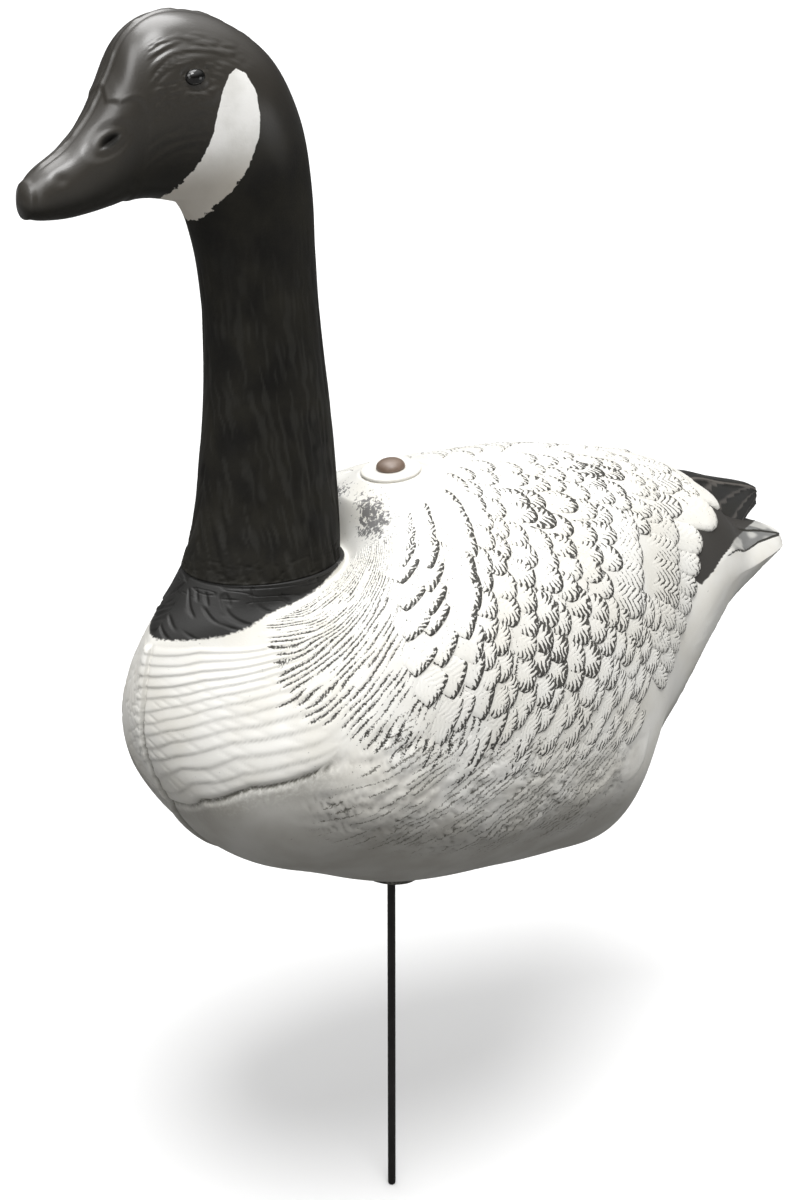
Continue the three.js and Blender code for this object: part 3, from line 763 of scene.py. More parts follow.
def skin_paint(settings):
    """White body paint with ink in the carving, the black collar, a washed shoulder, dark paint with painted
    shadow on the tail, and dirt with painted shade in the folds and on the belly.
    """
    material, shade, surface = new_material("body_paint")
    grain, blotch, colour = white_base(shade, surface, settings)
    # Grey belly paint, with painted shade where the body faces down and low on the chest.
    belly = shade.math("MULTIPLY", shade.value("belly"), shade.blend(blotch, 0.8, 1.15), True)
    colour = shade.mix(belly, colour, settings.belly_grey_and_shade)
    place = shade.place()
    mottle = shade.noise(place, 330.0, 5.0, 0.68, 0.4)
    wash = shade.step(shade.value("wash") + (mottle - 0.5) * 3.4, 0.6, 0.8)
    colour = shade.mix(wash * 0.85, colour, settings.wash_tone)
    colour = shade.mix(shade.value("tail_grey"), colour, TAIL_GREY)
    # Dark tail paint and painted shadow under the folded wing tips.
    colour = shade.mix(shade.ragged(shade.value("dusk"), 0.45, 0.3, 0.3, 240.0), colour, settings.tail_dark_and_shadow_tone)
    # Dirt and painted shade in the folds and grooves, broken up by mottle.
    dirt = shade.value("dirt") * shade.step(mottle, 0.2, 0.6)
    colour = shade.mix(shade.math("MULTIPLY", dirt, 0.9, True), colour, settings.dirt_and_shade_tone)
    frayed = (shade.noise(place, 800.0, 4.0, 0.7) - 0.5) * 2.8
    strokes = []
    for kind in ("fan", "rib"):
        centre = abs(shade.math("FRACT", shade.value(kind + "_phase")) - 0.5)
        stroke = shade.value(kind + "_swell") + 1.0 - centre * 2.0
        strokes.append(shade.step(stroke + frayed, 0.76, 0.86))
    fan, rib = strokes
    colour = shade.mix(rib * 0.85, colour, settings.dirt_and_shade_tone)
    inked = shade.math("MAXIMUM", shade.ragged(shade.value("ink"), 0.42, 0.12, 1.0, 900.0), fan)
    colour = shade.mix(inked * 0.96, colour, settings.ink_and_shadow_tone)
    colour = shade.mix(shade.ragged(shade.value("black"), 0.0, 1.0, 5.0, 420.0), colour, settings.black_paint)
    relief = grain * 0.25 - shade.math("MAXIMUM", inked, rib) * 0.6
    dress(shade, surface, Base_Color=colour, Normal=shade.bump(relief, 0.0006, 0.5))
    return material


def feather_paint(settings):
    """White feather paint with inked barbs, and ink with painted shadow at the tips; reads each feather's own
    UV map.
    """
    material, shade, surface = new_material("feather_paint")
    grain, _, white = white_base(shade, surface, settings)
    uv = shade.node("ShaderNodeSeparateXYZ", {0: shade.add("ShaderNodeUVMap", uv_map="UVMap")}).outputs
    along, across = (Value(shade, uv[axis]) * (1 / MM) for axis in (0, 1))
    place = shade.place()
    ragged = shade.noise(place, 620.0, 4.0, 0.68) - 0.5
    start, inked, hatched = shade.value("bare"), shade.value("inked"), shade.value("hatch")
    outward = abs(across - 0.5) * 2.0
    wobble = (shade.noise(place, 120.0, 2.0) - 0.5) * (start * 3.2) + shade.value("seed") * 7.0
    phase = along * 9.6 - outward * 2.85 + wobble
    comb = shade.math("COSINE", phase * (2 * math.pi)) * 0.5 + 0.5
    reach = shade.step(along + outward * 0.3, start, start + 0.53) * hatched
    hatch = shade.step(comb * 0.8 + (reach - 1.0) + ragged * 1.3, 0.3, 0.42) * shade.step(hatched, 0.02, 0.15)
    # Rim ink along the tip edge, which also stands for painted shadow under each feather's step.
    rim = shade.math("MAXIMUM", shade.value("rim"), shade.step(along, 0.84, 0.98)) * inked
    rim = rim + ragged * 2.8 + (comb - 0.5) * 0.8
    marks = shade.math("MAXIMUM", hatch, shade.step(rim, 0.66, 0.82) * shade.step(inked, 0.02, 0.2))
    dress(shade, surface, Base_Color=shade.mix(marks * 0.95, white, settings.ink_and_shadow_tone),
          Normal=shade.bump(grain * 0.25 - comb * 0.4 - marks * 0.5, 0.0007, 0.45))
    return material


def head_paint(settings):
    """Satin black of the head and neck with the white cheek patch; a painted sheen lightens the black on top
    and painted shade greys the patch's lower part.
    """
    material, shade, surface = new_material("head_paint")
    blotch, black = black_base(shade, surface, settings, 30.0)
    gloss, low = shade.value("gloss"), shade.value("patch_low")
    # Painted sheen: the black turns lighter where the gloss is high, on the upward-facing head.
    black = shade.mix(gloss * 0.85, black, SHEEN_BLACK)
    black = shade.mix(shade.value("streak") * 0.45, black, STREAK_BLACK)
    patch = shade.ragged(shade.value("patch"), 0.0, 0.25, shade.blend(low, 1.4, 6.5), 260.0)
    cheek = shade.mix(shade.step(blotch, 0.4, 0.65), CHEEK_WHITE, settings.white_paint)
    # Painted shade: the cheek patch greys towards its lower edge.
    cheek = shade.mix(low * 0.75, cheek, CHEEK_SHADE)
    uneven = shade.step(blotch, 0.3, 0.7)
    dress(shade, surface, Base_Color=shade.mix(patch, black, cheek),
          Roughness=shade.blend(gloss, shade.blend(uneven, 0.6, 0.72), shade.blend(uneven, 0.34, 0.44)),
          Specular_IOR_Level=0.15, Coat_Weight=gloss * 0.9, Coat_Roughness=0.3)
    return material


def tail_paint(settings):
    """Black paint of the folded wing tips, rubbed grey along the feather edges."""
    material, shade, surface = new_material("wing_tip_paint")
    blotch, black = black_base(shade, surface, settings, 45.0)
    rubbed = shade.ragged(shade.value("ridge"), 0.55, 0.35, 0.6, 200.0)
    dress(shade, surface, Base_Color=shade.mix(rubbed, black, RUBBED_BLACK),
          Roughness=shade.blend(blotch, 0.38, 0.55))
    return material


def simple_paint(name, colour, second, rough, metallic, blotches=60.0, depth=0.0003):
    """Lightly mottled plastic or metal for the small parts."""
    material, shade, surface = new_material(name)
    grain, blotch = shade.group(moulded_grain(), Grain_Scale=1100.0, Blotch_Scale=blotches)
    dress(shade, surface, Base_Color=shade.mix(shade.step(blotch, 0.35, 0.7), colour, second),
          Roughness=shade.blend(blotch, rough - 0.08, rough + 0.08), Metallic=metallic,
          Normal=shade.bump(grain, depth, 0.3))
    return material


# Feathers


# Steps of a feather plate across and along, and the inputs of the feather tree.
ACROSS = (-1, -0.93, -0.7, -0.38, 0, 0.38, 0.7, 0.93, 1)
ALONG = (0, 0.3, 0.6, 0.82, 0.94, 1)
FEATHER_INPUTS = (
    ("Geometry", "Geometry", None), ("Feather", "Object", None), ("Form", "Object", None),
    ("Size", "Float", 1.0), ("Ruffle", "Float", 0.05), ("Seed", "Int", 4), ("Finish", "Material", None))


def feather_plate(name, lean, tip_round, root_depth):
    """Closed feather one unit long, wide and thick: root at x -0.5, tip at x 0.5, lifted towards the tip."""
    rows, columns = len(ALONG), len(ACROSS)
    corners = []
    for a in ALONG:
        for b in ACROSS:
            x = a * (1 - tip_round * (1 - math.sqrt(max(0.0, 1 - abs(b) ** 2.3))) + lean * b * 0.5)
            rim = 1.0 if a == 1 or (abs(b) == 1 and a > 0.25) else 0.0
            lift = (1 + root_depth) * x ** 1.2 - root_depth - 0.34 * rim - 0.25 * b * b
            width = 0.5 * (0.8 + 0.2 * min(1.0, x * 3))
            corners.append(((x - 0.5, b * width, lift), (a, (b + 1) / 2), rim))
    faces = []
    for i in range(rows - 1):
        for j in range(columns - 1):
            k = i * columns + j
            faces.append((k, k + columns, k + columns + 1, k + 1))
    border = list(range(columns))
    border += [i * columns + columns - 1 for i in range(1, rows)]
    border += [(rows - 1) * columns + j for j in range(columns - 2, -1, -1)]
    border += [i * columns for i in range(rows - 2, 0, -1)]
    base, count = len(corners), len(border)
    for i, k in enumerate(border):
        (x, y, z), spot, rim = corners[k]
        corners.append(((x, y, min(z - 1.0, -1.3)), spot, rim))
        faces.append((k, border[(i + 1) % count], base + (i + 1) % count, base + i))
    faces.append(tuple(base + i for i in range(count)))
    mesh = bpy.data.meshes.new(name)
    mesh.from_pydata([place for place, _, _ in corners], [], faces)
    layer = mesh.uv_layers.new(name="UVMap")
    for loop in mesh.loops:
        u, v = corners[loop.vertex_index][1]
        layer.data[loop.index].uv = (u * MM, v * MM)
    store(mesh, "rim", [rim for _, _, rim in corners])
    store(mesh, "lift", [place[2] for place, _, _ in corners])
    mesh.polygons.foreach_set("use_smooth", [True] * len(mesh.polygons))
    mesh.update()
    return in_scene(name, mesh)


def feather_tree():
    """Geometry nodes that lay one feather on each point, turned and sized by its values, over a form."""
    tree = bpy.data.node_groups.get("lay_feathers")
    if tree:
        return tree
    tree = bpy.data.node_groups.new("lay_feathers", "GeometryNodeTree")
    for label, kind, default in FEATHER_INPUTS:
        socket = tree.interface.new_socket(label, in_out="INPUT", socket_type="NodeSocket" + kind)
        if default is not None:
            socket.default_value = default
    tree.interface.new_socket("Geometry", in_out="OUTPUT", socket_type="NodeSocketGeometry")
    nodes = Nodes(tree)
    given = nodes.node("NodeGroupInput").outputs

    def stored(name, kind="FLOAT_VECTOR"):
        return nodes.add("GeometryNodeInputNamedAttribute", {"Name": name}, "Attribute", data_type=kind)

    def turned(angles):
        return nodes.add("FunctionNodeEulerToRotation", {0: angles})

    size = stored("size")
    least = nodes.math("MULTIPLY", given["Ruffle"], -1.0)
    limits = {"Min": least, "Max": given["Ruffle"], "Seed": given["Seed"]}
    ruffle = nodes.add("FunctionNodeRandomValue", limits, "Value", data_type="FLOAT_VECTOR")
    turn = nodes.add("FunctionNodeRotateRotation", {0: turned(stored("turn")), 1: turned(ruffle)},
                     rotation_space="LOCAL")
    scale = nodes.add("ShaderNodeVectorMath", {0: size, "Scale": given["Size"]}, operation="SCALE")
    feather, form = (nodes.add("GeometryNodeObjectInfo", {"Object": given[label]}, "Geometry")
                     for label in ("Feather", "Form"))
    laid = nodes.add("GeometryNodeInstanceOnPoints", {
        "Points": given["Geometry"], "Instance": feather, "Rotation": turn, "Scale": scale})
    plain = nodes.add("GeometryNodeRealizeInstances", {0: laid})
    position, normal = (
        nodes.add("GeometryNodeSampleNearestSurface", {"Mesh": form, "Value": nodes.add(kind)}, "Value",
                  data_type="FLOAT_VECTOR")
        for kind in ("GeometryNodeInputPosition", "GeometryNodeInputNormal"))
    height = stored("lift", "FLOAT") * nodes.add("ShaderNodeSeparateXYZ", {0: size}, 2)
    raised = nodes.add("ShaderNodeVectorMath", {0: normal, "Scale": height}, operation="SCALE")
    settled = nodes.add("GeometryNodeSetPosition", {
        "Geometry": plain, "Position": nodes.add("ShaderNodeVectorMath", {0: position, 1: raised})})
    finished = nodes.add("GeometryNodeSetMaterial", {"Geometry": settled, "Material": given["Finish"]})
    nodes.node("NodeGroupOutput", {0: finished})
    return tree


def set_inputs(modifier, tree, values):
    """Sets a modifier's inputs by their sockets' identifiers."""
    keys = {item.name: item.identifier for item in tree.interface.items_tree
            if item.item_type == "SOCKET" and item.in_out == "INPUT"}
    for label, value in values.items():
        modifier[keys[label]] = value


def lay_feathers(name, spots, plate, form, settings, material, seed):
    """Plain mesh object of feathers laid by geometry nodes at the spots that feather_spot makes."""
    mesh = bpy.data.meshes.new(name + "_points")
    mesh.from_pydata([tuple(spot["place"]) for spot in spots], [], [])
    for key in ("turn", "size"):
        store(mesh, key, [spot[key] for spot in spots], "FLOAT_VECTOR")
    for key in ("inked", "hatch", "seed", "bare"):
        store(mesh, key, [spot[key] for spot in spots])
    holder = in_scene(name + "_points", mesh)
    modifier = holder.modifiers.new("feathers", "NODES")
    modifier.node_group = feather_tree()
    set_inputs(modifier, modifier.node_group, {
        "Feather": plate, "Form": form, "Size": settings.feather_size, "Ruffle": settings.ruffle,
        "Seed": seed, "Finish": material})
    bpy.context.view_layer.update()
    graph = bpy.context.evaluated_depsgraph_get()
    made_mesh = bpy.data.meshes.new_from_object(holder.evaluated_get(graph), depsgraph=graph)
    made_mesh.name = name
    made = in_scene(name, made_mesh)
    bpy.data.objects.remove(holder)
    return made


def feather_spot(tip, root, size, side, paint):
    """One feather from its hidden root to its tip, both as (section number, angle).

    Size is its width and thickness. Paint is the ink of its rim, which also stands for painted shadow under
    the tip, and of its barbs, its seed and its bare share.
    """
    position = np.array([tip[0], root[0], (tip[0] + root[0]) / 2])
    degrees = np.clip([tip[1], root[1], (tip[1] + root[1]) / 2], 1.0, 179.0)
    points, _, _, normals = loft_frame(BODY_SECTIONS, position, degrees)
    middle, ahead = points[2], points[0] - points[1]
    length = np.linalg.norm(ahead)
    ahead = ahead / length
    normal = unit(normals[2] - ahead * normals[2].dot(ahead))
    if side < 0:
        middle, ahead, normal = (value * np.array([1, -1, 1]) for value in (middle, ahead, normal))
    turn = Matrix([list(column) for column in zip(ahead, np.cross(normal, ahead), normal)]).to_euler("XYZ")
    spot = {"place": middle * MM, "turn": tuple(turn), "size": (length * MM, size[0] * MM, size[1] * MM)}
    return spot | dict(zip(("inked", "hatch", "seed", "bare"), paint))


def plain_form():
    """Smooth body form without carving, which the feathers are laid on."""
    skin = loft_skin(BODY_SECTIONS, np.linspace(3, 17.5, 117), stretched_angles(((180, 2.5),)))
    rows, columns = skin.point.shape[:2]
    rings, cols = grid_faces(rows, columns, False)
    mesh = bpy.data.meshes.new("plain_form")
    faces = (rings * columns + cols % columns).tolist()
    mesh.from_pydata((skin.point.reshape(-1, 3) * MM).tolist(), [], faces)
    mesh.polygons.foreach_set("use_smooth", [True] * len(mesh.polygons))
    mesh.update()
    return in_scene("plain_form", mesh)


COVERT_ROWS = 18
# The first rows lie further apart and carry broad, nearly square feathers.
BROAD_ROWS = 5
ROW_SPACING = 0.053
# Both kinds of covert: degrees from one to the next, width in such steps, share of the slant, length in rows
# and share of the thickness.
BROAD_COVERT = (7.6, 1.5, 0.35, 4.0, 0.75)
SMALL_COVERT = (6.7, 1.4, 1.0, 2.7, 1.0)
# No covert lies within this distance of the stake, or between these angles where the fingers cover it.
WASHER_CLEARANCE, FINGER_SPAN = 52, (44, 66)
# Feathers that hold much ink: section number, angle, reach.
INK_PATCHES = ((9.0, 28.0, 7.0), (10.7, 19.0, 7.0), (6.4, 66.0, 8.0), (8.6, 70.0, 9.0))


def soft(low, high, value):
    return float(smooth(low, high, value))


def ink_at(position, degrees, row):
    """How strongly a feather's rim (ink and painted shadow) and barbs are inked."""
    dark = max(math.exp(-(((position - p) * 12) ** 2 + (degrees - d) ** 2) / (r * r))
               for p, d, r in INK_PATCHES)
    low = soft(22, 52, degrees)
    rim = 0.78 + 0.36 * low + 0.3 * soft(7.0, 3.0, row) - 0.5 * soft(2.5, 0.5, row) * (1 - low)
    hatch = soft(2.0, 6.0, row) * (0.6 + 0.4 * low)
    return min(1.35, rim + dark), min(1.5, hatch + dark)


def covert_spots(side, settings, broad):
    """Rows of scale-like feathers over the folded wing: the broad ones at the shoulder, or all others."""
    spots, count = [], 0
    step, widths, straight, lengths, thin = BROAD_COVERT if broad else SMALL_COVERT
    for row in range(0, BROAD_ROWS, 2) if broad else range(BROAD_ROWS, COVERT_ROWS):
        share = row * ROW_SPACING
        degrees = 6.0 + (step / 2 if row % 2 or row == 2 else 0.0)
        while degrees < 98:
            count += 1
            luck = [float(scatter(count * 13 + k, 71 if side > 0 else 72)) for k in range(6)]
            here = degrees + (luck[0] - 0.5) * 2.6
            degrees += step
            front, edge = float(lookup(WING_FRONT, here)), float(lookup(WING_EDGE, here))
            position = front + (edge - front) * (share + (luck[1] - 0.5) * 0.03)
            point, along, around, _ = loft_frame(BODY_SECTIONS, np.array([position]), np.array([here]))
            step_along, step_around = np.linalg.norm(along[0]), np.linalg.norm(around[0])
            slant = 12 + 18 * soft(35, 95, here) + (luck[2] - 0.5) * 12
            slant += 16 * float(smooth(8.5, 10.5, position) * smooth(55, 70, here))
            slant = math.radians(slant) * straight
            inked, hatch = ink_at(position, here, row)
            early = soft(-1, 2.5, row + smooth(50, 70, here) * 3)
            thick = settings.feather_depth / MM * (0.6 + 0.4 * soft(10, 40, here))
            thick *= (0.7 + 0.3 * early) * thin
            length = step_along * (edge - front) * ROW_SPACING * lengths
            root = (position - length * math.cos(slant) / step_along,
                    here - length * math.sin(slant) / step_around)
            by_washer = math.hypot(point[0][0], point[0][1]) < WASHER_CLEARANCE
            under_fingers = share > 0.6 and FINGER_SPAN[0] < here < FINGER_SPAN[1]
            if not by_washer and not under_fingers:
                inked *= 0.7 + 0.3 * luck[3]
                hatch *= 0.0 if broad else 0.55 + 0.45 * luck[4]
                size = (step_around * step * widths, thick)
                spots.append(feather_spot((position, here), root, size, side, (inked, hatch, luck[5], 0.55)))
    return spots


# Long feathers at the wing's rear edge: tip and hidden root as section number and angle, width, thickness.
LONG_FEATHERS = (
    (14.1, 25, 11.9, 21, 34, 4.0), (13.9, 8, 11.8, 7, 22, 3.4), (13.25, 46.5, 11.3, 34, 30, 4.4),
    (12.5, 56.5, 10.9, 42, 25, 4.0), (12.35, 65, 10.9, 49, 22, 3.8), (12.22, 71.5, 10.8, 55, 20, 3.4),
    (12.05, 76.5, 10.7, 60, 18, 3.2), (11.88, 81.5, 10.6, 65, 17, 3.0), (11.63, 85, 10.5, 70, 16, 2.8),
    (11.35, 88, 10.4, 75, 16, 2.6), (11.05, 90.5, 10.2, 79, 15, 2.4),
    (12.7, 15, 11.2, 12, 21, 2.7), (12.6, 27, 11.1, 22, 21, 2.7), (12.2, 39, 10.7, 31, 21, 2.7),
    (11.85, 49, 10.5, 39, 22, 3.0), (11.7, 56, 10.3, 45, 22, 3.2), (11.62, 62.5, 10.2, 51, 21, 3.2),
    (11.5, 69, 10.15, 57, 20, 3.1), (11.3, 75, 10.0, 63, 19, 2.9), (11.05, 80.5, 9.9, 69, 18, 2.7),
    (10.6, 44, 9.6, 35, 26, 2.8), (10.5, 52, 9.45, 43, 27, 3.0), (10.4, 59, 9.3, 49, 27, 3.0),
    (10.25, 66, 9.2, 56, 26, 3.0),
)
FINGERS = 11


def long_spots(side):
    """Rounded finger feathers over the dark wing tips, and the big stacked feathers before them."""
    spots = []
    for index, (position, degrees, root_position, root_degrees, *size) in enumerate(LONG_FEATHERS):
        luck = float(scatter(index, 81 if side > 0 else 82))
        low = soft(40, 75, degrees)
        if index < FINGERS:
            paint = (0.1 + 0.7 * low, 0.05 + 0.6 * low, luck, 0.4)
        else:
            paint = (0.7 + 0.25 * luck, 0.5 + 0.3 * luck, luck, 0.2)
        spots.append(feather_spot((position, degrees), (root_position, root_degrees), size, side, paint))
    return spots


# Turned pieces


def turned_faces(rings, turns):
    """Faces of a closed turned form, whose points are its rings and then its first and last point."""
    faces = []
    for ring in range(rings - 1):
        for i in range(turns):
            a, b = ring * turns + i, ring * turns + (i + 1) % turns
            faces.append((a, b, b + turns, a + turns))
    top, last = rings * turns, (rings - 1) * turns
    for i in range(turns):
        j = (i + 1) % turns
        faces += [(top, j, i), (top + 1, last + i, last + j)]
    return faces


def swung(points, first, second, degrees):
    """Points turned in the plane of two axes."""
    points, angle = points.copy(), math.radians(degrees)
    a, b = points[:, first].copy(), points[:, second].copy()
    points[:, first] = a * math.cos(angle) - b * math.sin(angle)
    points[:, second] = a * math.sin(angle) + b * math.cos(angle)
    return points


def lathe_object(name, profile, turns, material, tilt=0.0, height=0.0):
    """Turned piece from (radius, z) pairs that start and end on the axis, tilted about Y and lifted."""
    angles = [2 * math.pi * i / turns for i in range(turns)]
    vertices = [(radius * math.cos(angle), radius * math.sin(angle), z)
                for radius, z in profile[1:-1] for angle in angles]
    vertices += [(0, 0, profile[0][1]), (0, 0, profile[-1][1])]
    faces = turned_faces(len(profile) - 2, turns)
    points = swung(np.array(vertices, float), 0, 2, tilt)
    points[:, 2] += height
    return plain_object(name, points, faces, [vertices[k][:2] for face in faces for k in face], {}, material)


def eye_bead(name, side, length, material):
    """Glossy bead set in the head, longer than tall."""
    turns, stacks = 40, 20
    vertices = []
    for i in range(1, stacks):
        polar = math.pi * i / stacks
        for j in range(turns):
            angle = 2 * math.pi * j / turns
            across = math.sin(polar)
            vertices.append((across * math.cos(angle), math.cos(polar), across * math.sin(angle)))
    vertices += [(0, 1, 0), (0, -1, 0)]
    faces = turned_faces(stacks - 1, turns)
    points = np.array(vertices) * np.array([length / 2, EYE_DEPTH, length * 0.37])
    points = swung(points, 0, 1, EYE_YAW) + np.array(EYE_MIDDLE)
    if side < 0:
        points[:, 1] *= -1
        faces = [face[::-1] for face in faces]
    return plain_object(name, points, faces, [(0, 0)] * sum(map(len, faces)), {}, material)


# Settings


def colour_setting(name, description, *default):
    return bpy.props.FloatVectorProperty(
        name=name, description=description, subtype="COLOR", size=3, default=default)


def number_setting(name, description, default, **more):
    return bpy.props.FloatProperty(name=name, description=description, default=default, **more)


class GoosePaint(bpy.types.PropertyGroup):
    """Colours of the goose's paints, as linear values."""

    white_paint: colour_setting("White paint", "Body and cheek paint", 0.80, 0.79, 0.75)
    cream_paint: colour_setting("Cream tone", "Warmer blotches in the white", 0.74, 0.72, 0.66)
    # Grey paint below the crease, also used as painted shade on the down-facing and low parts of the body.
    belly_grey_and_shade: colour_setting("Belly tone", "Grey of the belly below the crease", 0.13, 0.12, 0.10)
    # Ink in the carving and at the feather tips, where it also stands for painted shadow under each step.
    ink_and_shadow_tone: colour_setting("Ink", "Dark wash that lies in the carving", 0.022, 0.020, 0.015)
    # Grey of settled dirt and of painted shade in the folds and grooves.
    dirt_and_shade_tone: colour_setting("Dirt", "Grey that has settled in the folds", 0.12, 0.115, 0.095)
    wash_tone: colour_setting("Shoulder wash", "Mottled grey behind the neck", 0.06, 0.06, 0.065)
    # Dark tail paint, also the painted shadow below the folded wing tips.
    tail_dark_and_shadow_tone: colour_setting("Tail tone", "Dark paint on top of the tail", 0.035, 0.032, 0.028)
    black_paint: colour_setting("Black paint", "Head, neck and collar", 0.0065, 0.006, 0.005)
    worn_black: colour_setting("Worn black", "Lighter blotches in the black", 0.018, 0.0165, 0.012)


class GooseCarving(bpy.types.PropertyGroup):
    """Sizes of the carving on the body."""

    chest_bands: bpy.props.IntProperty(
        name="Chest bands", description="Bands of feathers across the chest", default=13, min=3)
    chest_depth: number_setting("Chest band depth", "Step at each chest band", 0.7 * MM, unit="LENGTH")
    feather_depth: number_setting("Feather depth", "Step at a wing feather's tip", 1.9 * MM, unit="LENGTH")
    feather_size: number_setting("Feather size", "Scale of the wing feathers", 1.0, min=0.2)
    ruffle: number_setting("Ruffle", "Random turn of each feather", 0.035, subtype="ANGLE")


class GooseFittings(bpy.types.PropertyGroup):
    """Sizes of the stake and its fittings."""

    stake_diameter: number_setting("Stake diameter", "Ground stake rod", 6 * MM, unit="LENGTH")
    washer_diameter: number_setting("Washer diameter", "Disc on the back", 42 * MM, unit="LENGTH")
    cap_diameter: number_setting("Cap diameter", "Domed cap on the stake", 20 * MM, unit="LENGTH")
    eye_length: number_setting("Eye length", "Length of the eye bead", 14.6 * MM, unit="LENGTH")


class GooseStage(bpy.types.PropertyGroup):
    """Floor, light and camera."""

    floor_tone: number_setting("Floor tone", "Paleness of the floor", 0.82, min=0, max=1)
    floor_bounce: number_setting(
        "Floor bounce", "Share of light the floor throws back on the goose", 0.23, min=0, max=1)
    key_strength: number_setting("Key light", "Soft light from above", 2.45)
    fill_power: number_setting("Fill light", "Soft light from the left", 8.0, unit="POWER")
    side_power: number_setting("Side light", "Weak light on the tail from the right", 5.0, unit="POWER")
    back_power: number_setting("Back light", "Sheen from above and behind", 34.0, unit="POWER")
    sheen_power: number_setting("Sheen light", "Sheen on the black paint from the front", 24.0, unit="POWER")
    sky: number_setting("Sky", "Strength of the sky", 0.2, min=0)
    lens: number_setting("Lens", "Camera focal length in millimetres", 68.1)


def settings_of(context):
    scene = context.scene
    return scene.goose_paint, scene.goose_carving, scene.goose_fittings, scene.goose_stage


# Operators


class GOOSE_OT_body(bpy.types.Operator):
    """Makes the carved body skin in two pieces that meet in the belly crease, and the boss under it"""

    bl_idname = "goose.body"
    bl_label = "Make body"

    def execute(self, context):
        paint, carving, _, _ = settings_of(context)
        material = skin_paint(paint)
        rear = SPLIT_SECTION + (TAIL_SECTION - SPLIT_SECTION) * np.linspace(0, 1, REAR_RINGS)
        rows = np.concatenate([np.linspace(0, SPLIT_SECTION, FRONT_RINGS), rear[1:]])
        skin = loft_skin(BODY_SECTIONS, rows, stretched_angles(BODY_SPANS))
        points, values = body_surface(skin, carving)
        first, last = BODY_SECTIONS[0], BODY_SECTIONS[-1]
        neck_cap = ((first[0] + first[2]) / 2, 0.0, first[1])
        tail_cap = (last[0] + 5, 0.0, (last[1] + last[3]) / 2)
        pieces = []
        cuts = (("breast_and_shoulders", 0, FRONT_RINGS, (neck_cap, None)),
                ("back_belly_and_tail", FRONT_RINGS - 1, len(points), (None, tail_cap)))
        for name, start, end, caps in cuts:
            here = {key: value[start:end] for key, value in values.items()}
            pieces.append(skin_object(name, skin.part(start, end), points[start:end], here, material, caps))
        for piece in pieces:
            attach(piece, "root")
        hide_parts("body")
        boss = lathe_object("belly_boss", BOSS_PROFILE, 64, material, BOSS_TILT, BOSS_HEIGHT)
        # The belly boss is painted dark all over with the belly and dirt greys: painted shade under the body.
        store(boss.data, "belly", [1.0] * len(boss.data.vertices))
        store(boss.data, "dirt", [0.75] * len(boss.data.vertices))
        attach(boss, "root")
        return {"FINISHED"}


class GOOSE_OT_feathers(bpy.types.Operator):
    """Lays the wing feathers on both sides"""

    bl_idname = "goose.feathers"
    bl_label = "Lay wing feathers"

    def execute(self, context):
        paint, carving, _, _ = settings_of(context)
        material = feather_paint(paint)
        form = plain_form()
        for side, word in ((1, "left"), (-1, "right")):
            kinds = (
                ("wing_coverts_", covert_spots(side, carving, False), (-0.14 * side, 0.25, 0.7), 4),
                ("shoulder_feathers_", covert_spots(side, carving, True), (-0.06 * side, 0.07, 0.7), 6),
                ("wing_long_feathers_", long_spots(side), (-0.05 * side, 0.2, 0.3), 5))
            for name, spots, shape, seed in kinds:
                plate = feather_plate("feather_plate", *shape)
                piece = lay_feathers(name + word, spots, plate, form, carving, material, seed)
                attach(piece, "root")
                bpy.data.objects.remove(plate)
        bpy.data.objects.remove(form)
        return {"FINISHED"}


class GOOSE_OT_wing_tips(bpy.types.Operator):
    """Makes the dark folded wing tips that lie over the tail"""

    bl_idname = "goose.wing_tips"
    bl_label = "Make wing tips"

    def execute(self, context):
        material = tail_paint(settings_of(context)[0])
        steps, samples = 90, 30
        place = np.linspace(0, len(WING_TIP_SECTIONS) - 1, steps)
        around = np.linspace(0, 6, samples)
        rings = []
        for x, top, bottom, wide, foot in section_at(WING_TIP_SECTIONS, place):
            knots_y = [0, wide * 0.8, wide, wide * 0.8 + foot * 0.2, wide * 0.3 + foot * 0.7, foot, 0]
            deep = top - bottom
            knots_z = [top, top - 0.6, top - 3, top - 0.35 * deep, top - 0.75 * deep, bottom, bottom - 1]
            lengths = np.concatenate([[0], np.cumsum(np.hypot(np.diff(knots_y), np.diff(knots_z)))])
            at = np.interp(around, np.arange(7), lengths)
            y, z = np.interp(at, lengths, knots_y), np.interp(at, lengths, knots_z)
            rings.append(np.stack([np.full(samples, x), -y, z], -1))
        half = np.array(rings)
        level = around[None, :]
        share = (level * 0.9 + place[:, None] * 0.75) % 1.0
        face = hump(level, 1.6, 2.2, 4.6, 5.0)
        half[..., 1] -= face * 1.4 * share * smooth(1.0, 0.85, share)
        skin = Skin(half)
        ridge = skin.both(face * smooth(0.62, 0.9, share) + bell(level - 1.6, 0.35) * 0.9)
        first, last = WING_TIP_SECTIONS[0], WING_TIP_SECTIONS[-1]
        caps = ((first[0], 0, (first[1] + first[2]) / 2), (last[0] + 3, 0, (last[1] + last[2]) / 2))
        block = skin_object("folded_wing_tips", skin, skin.point, {"ridge": ridge}, material, caps)
        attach(block, "root")
        return {"FINISHED"}


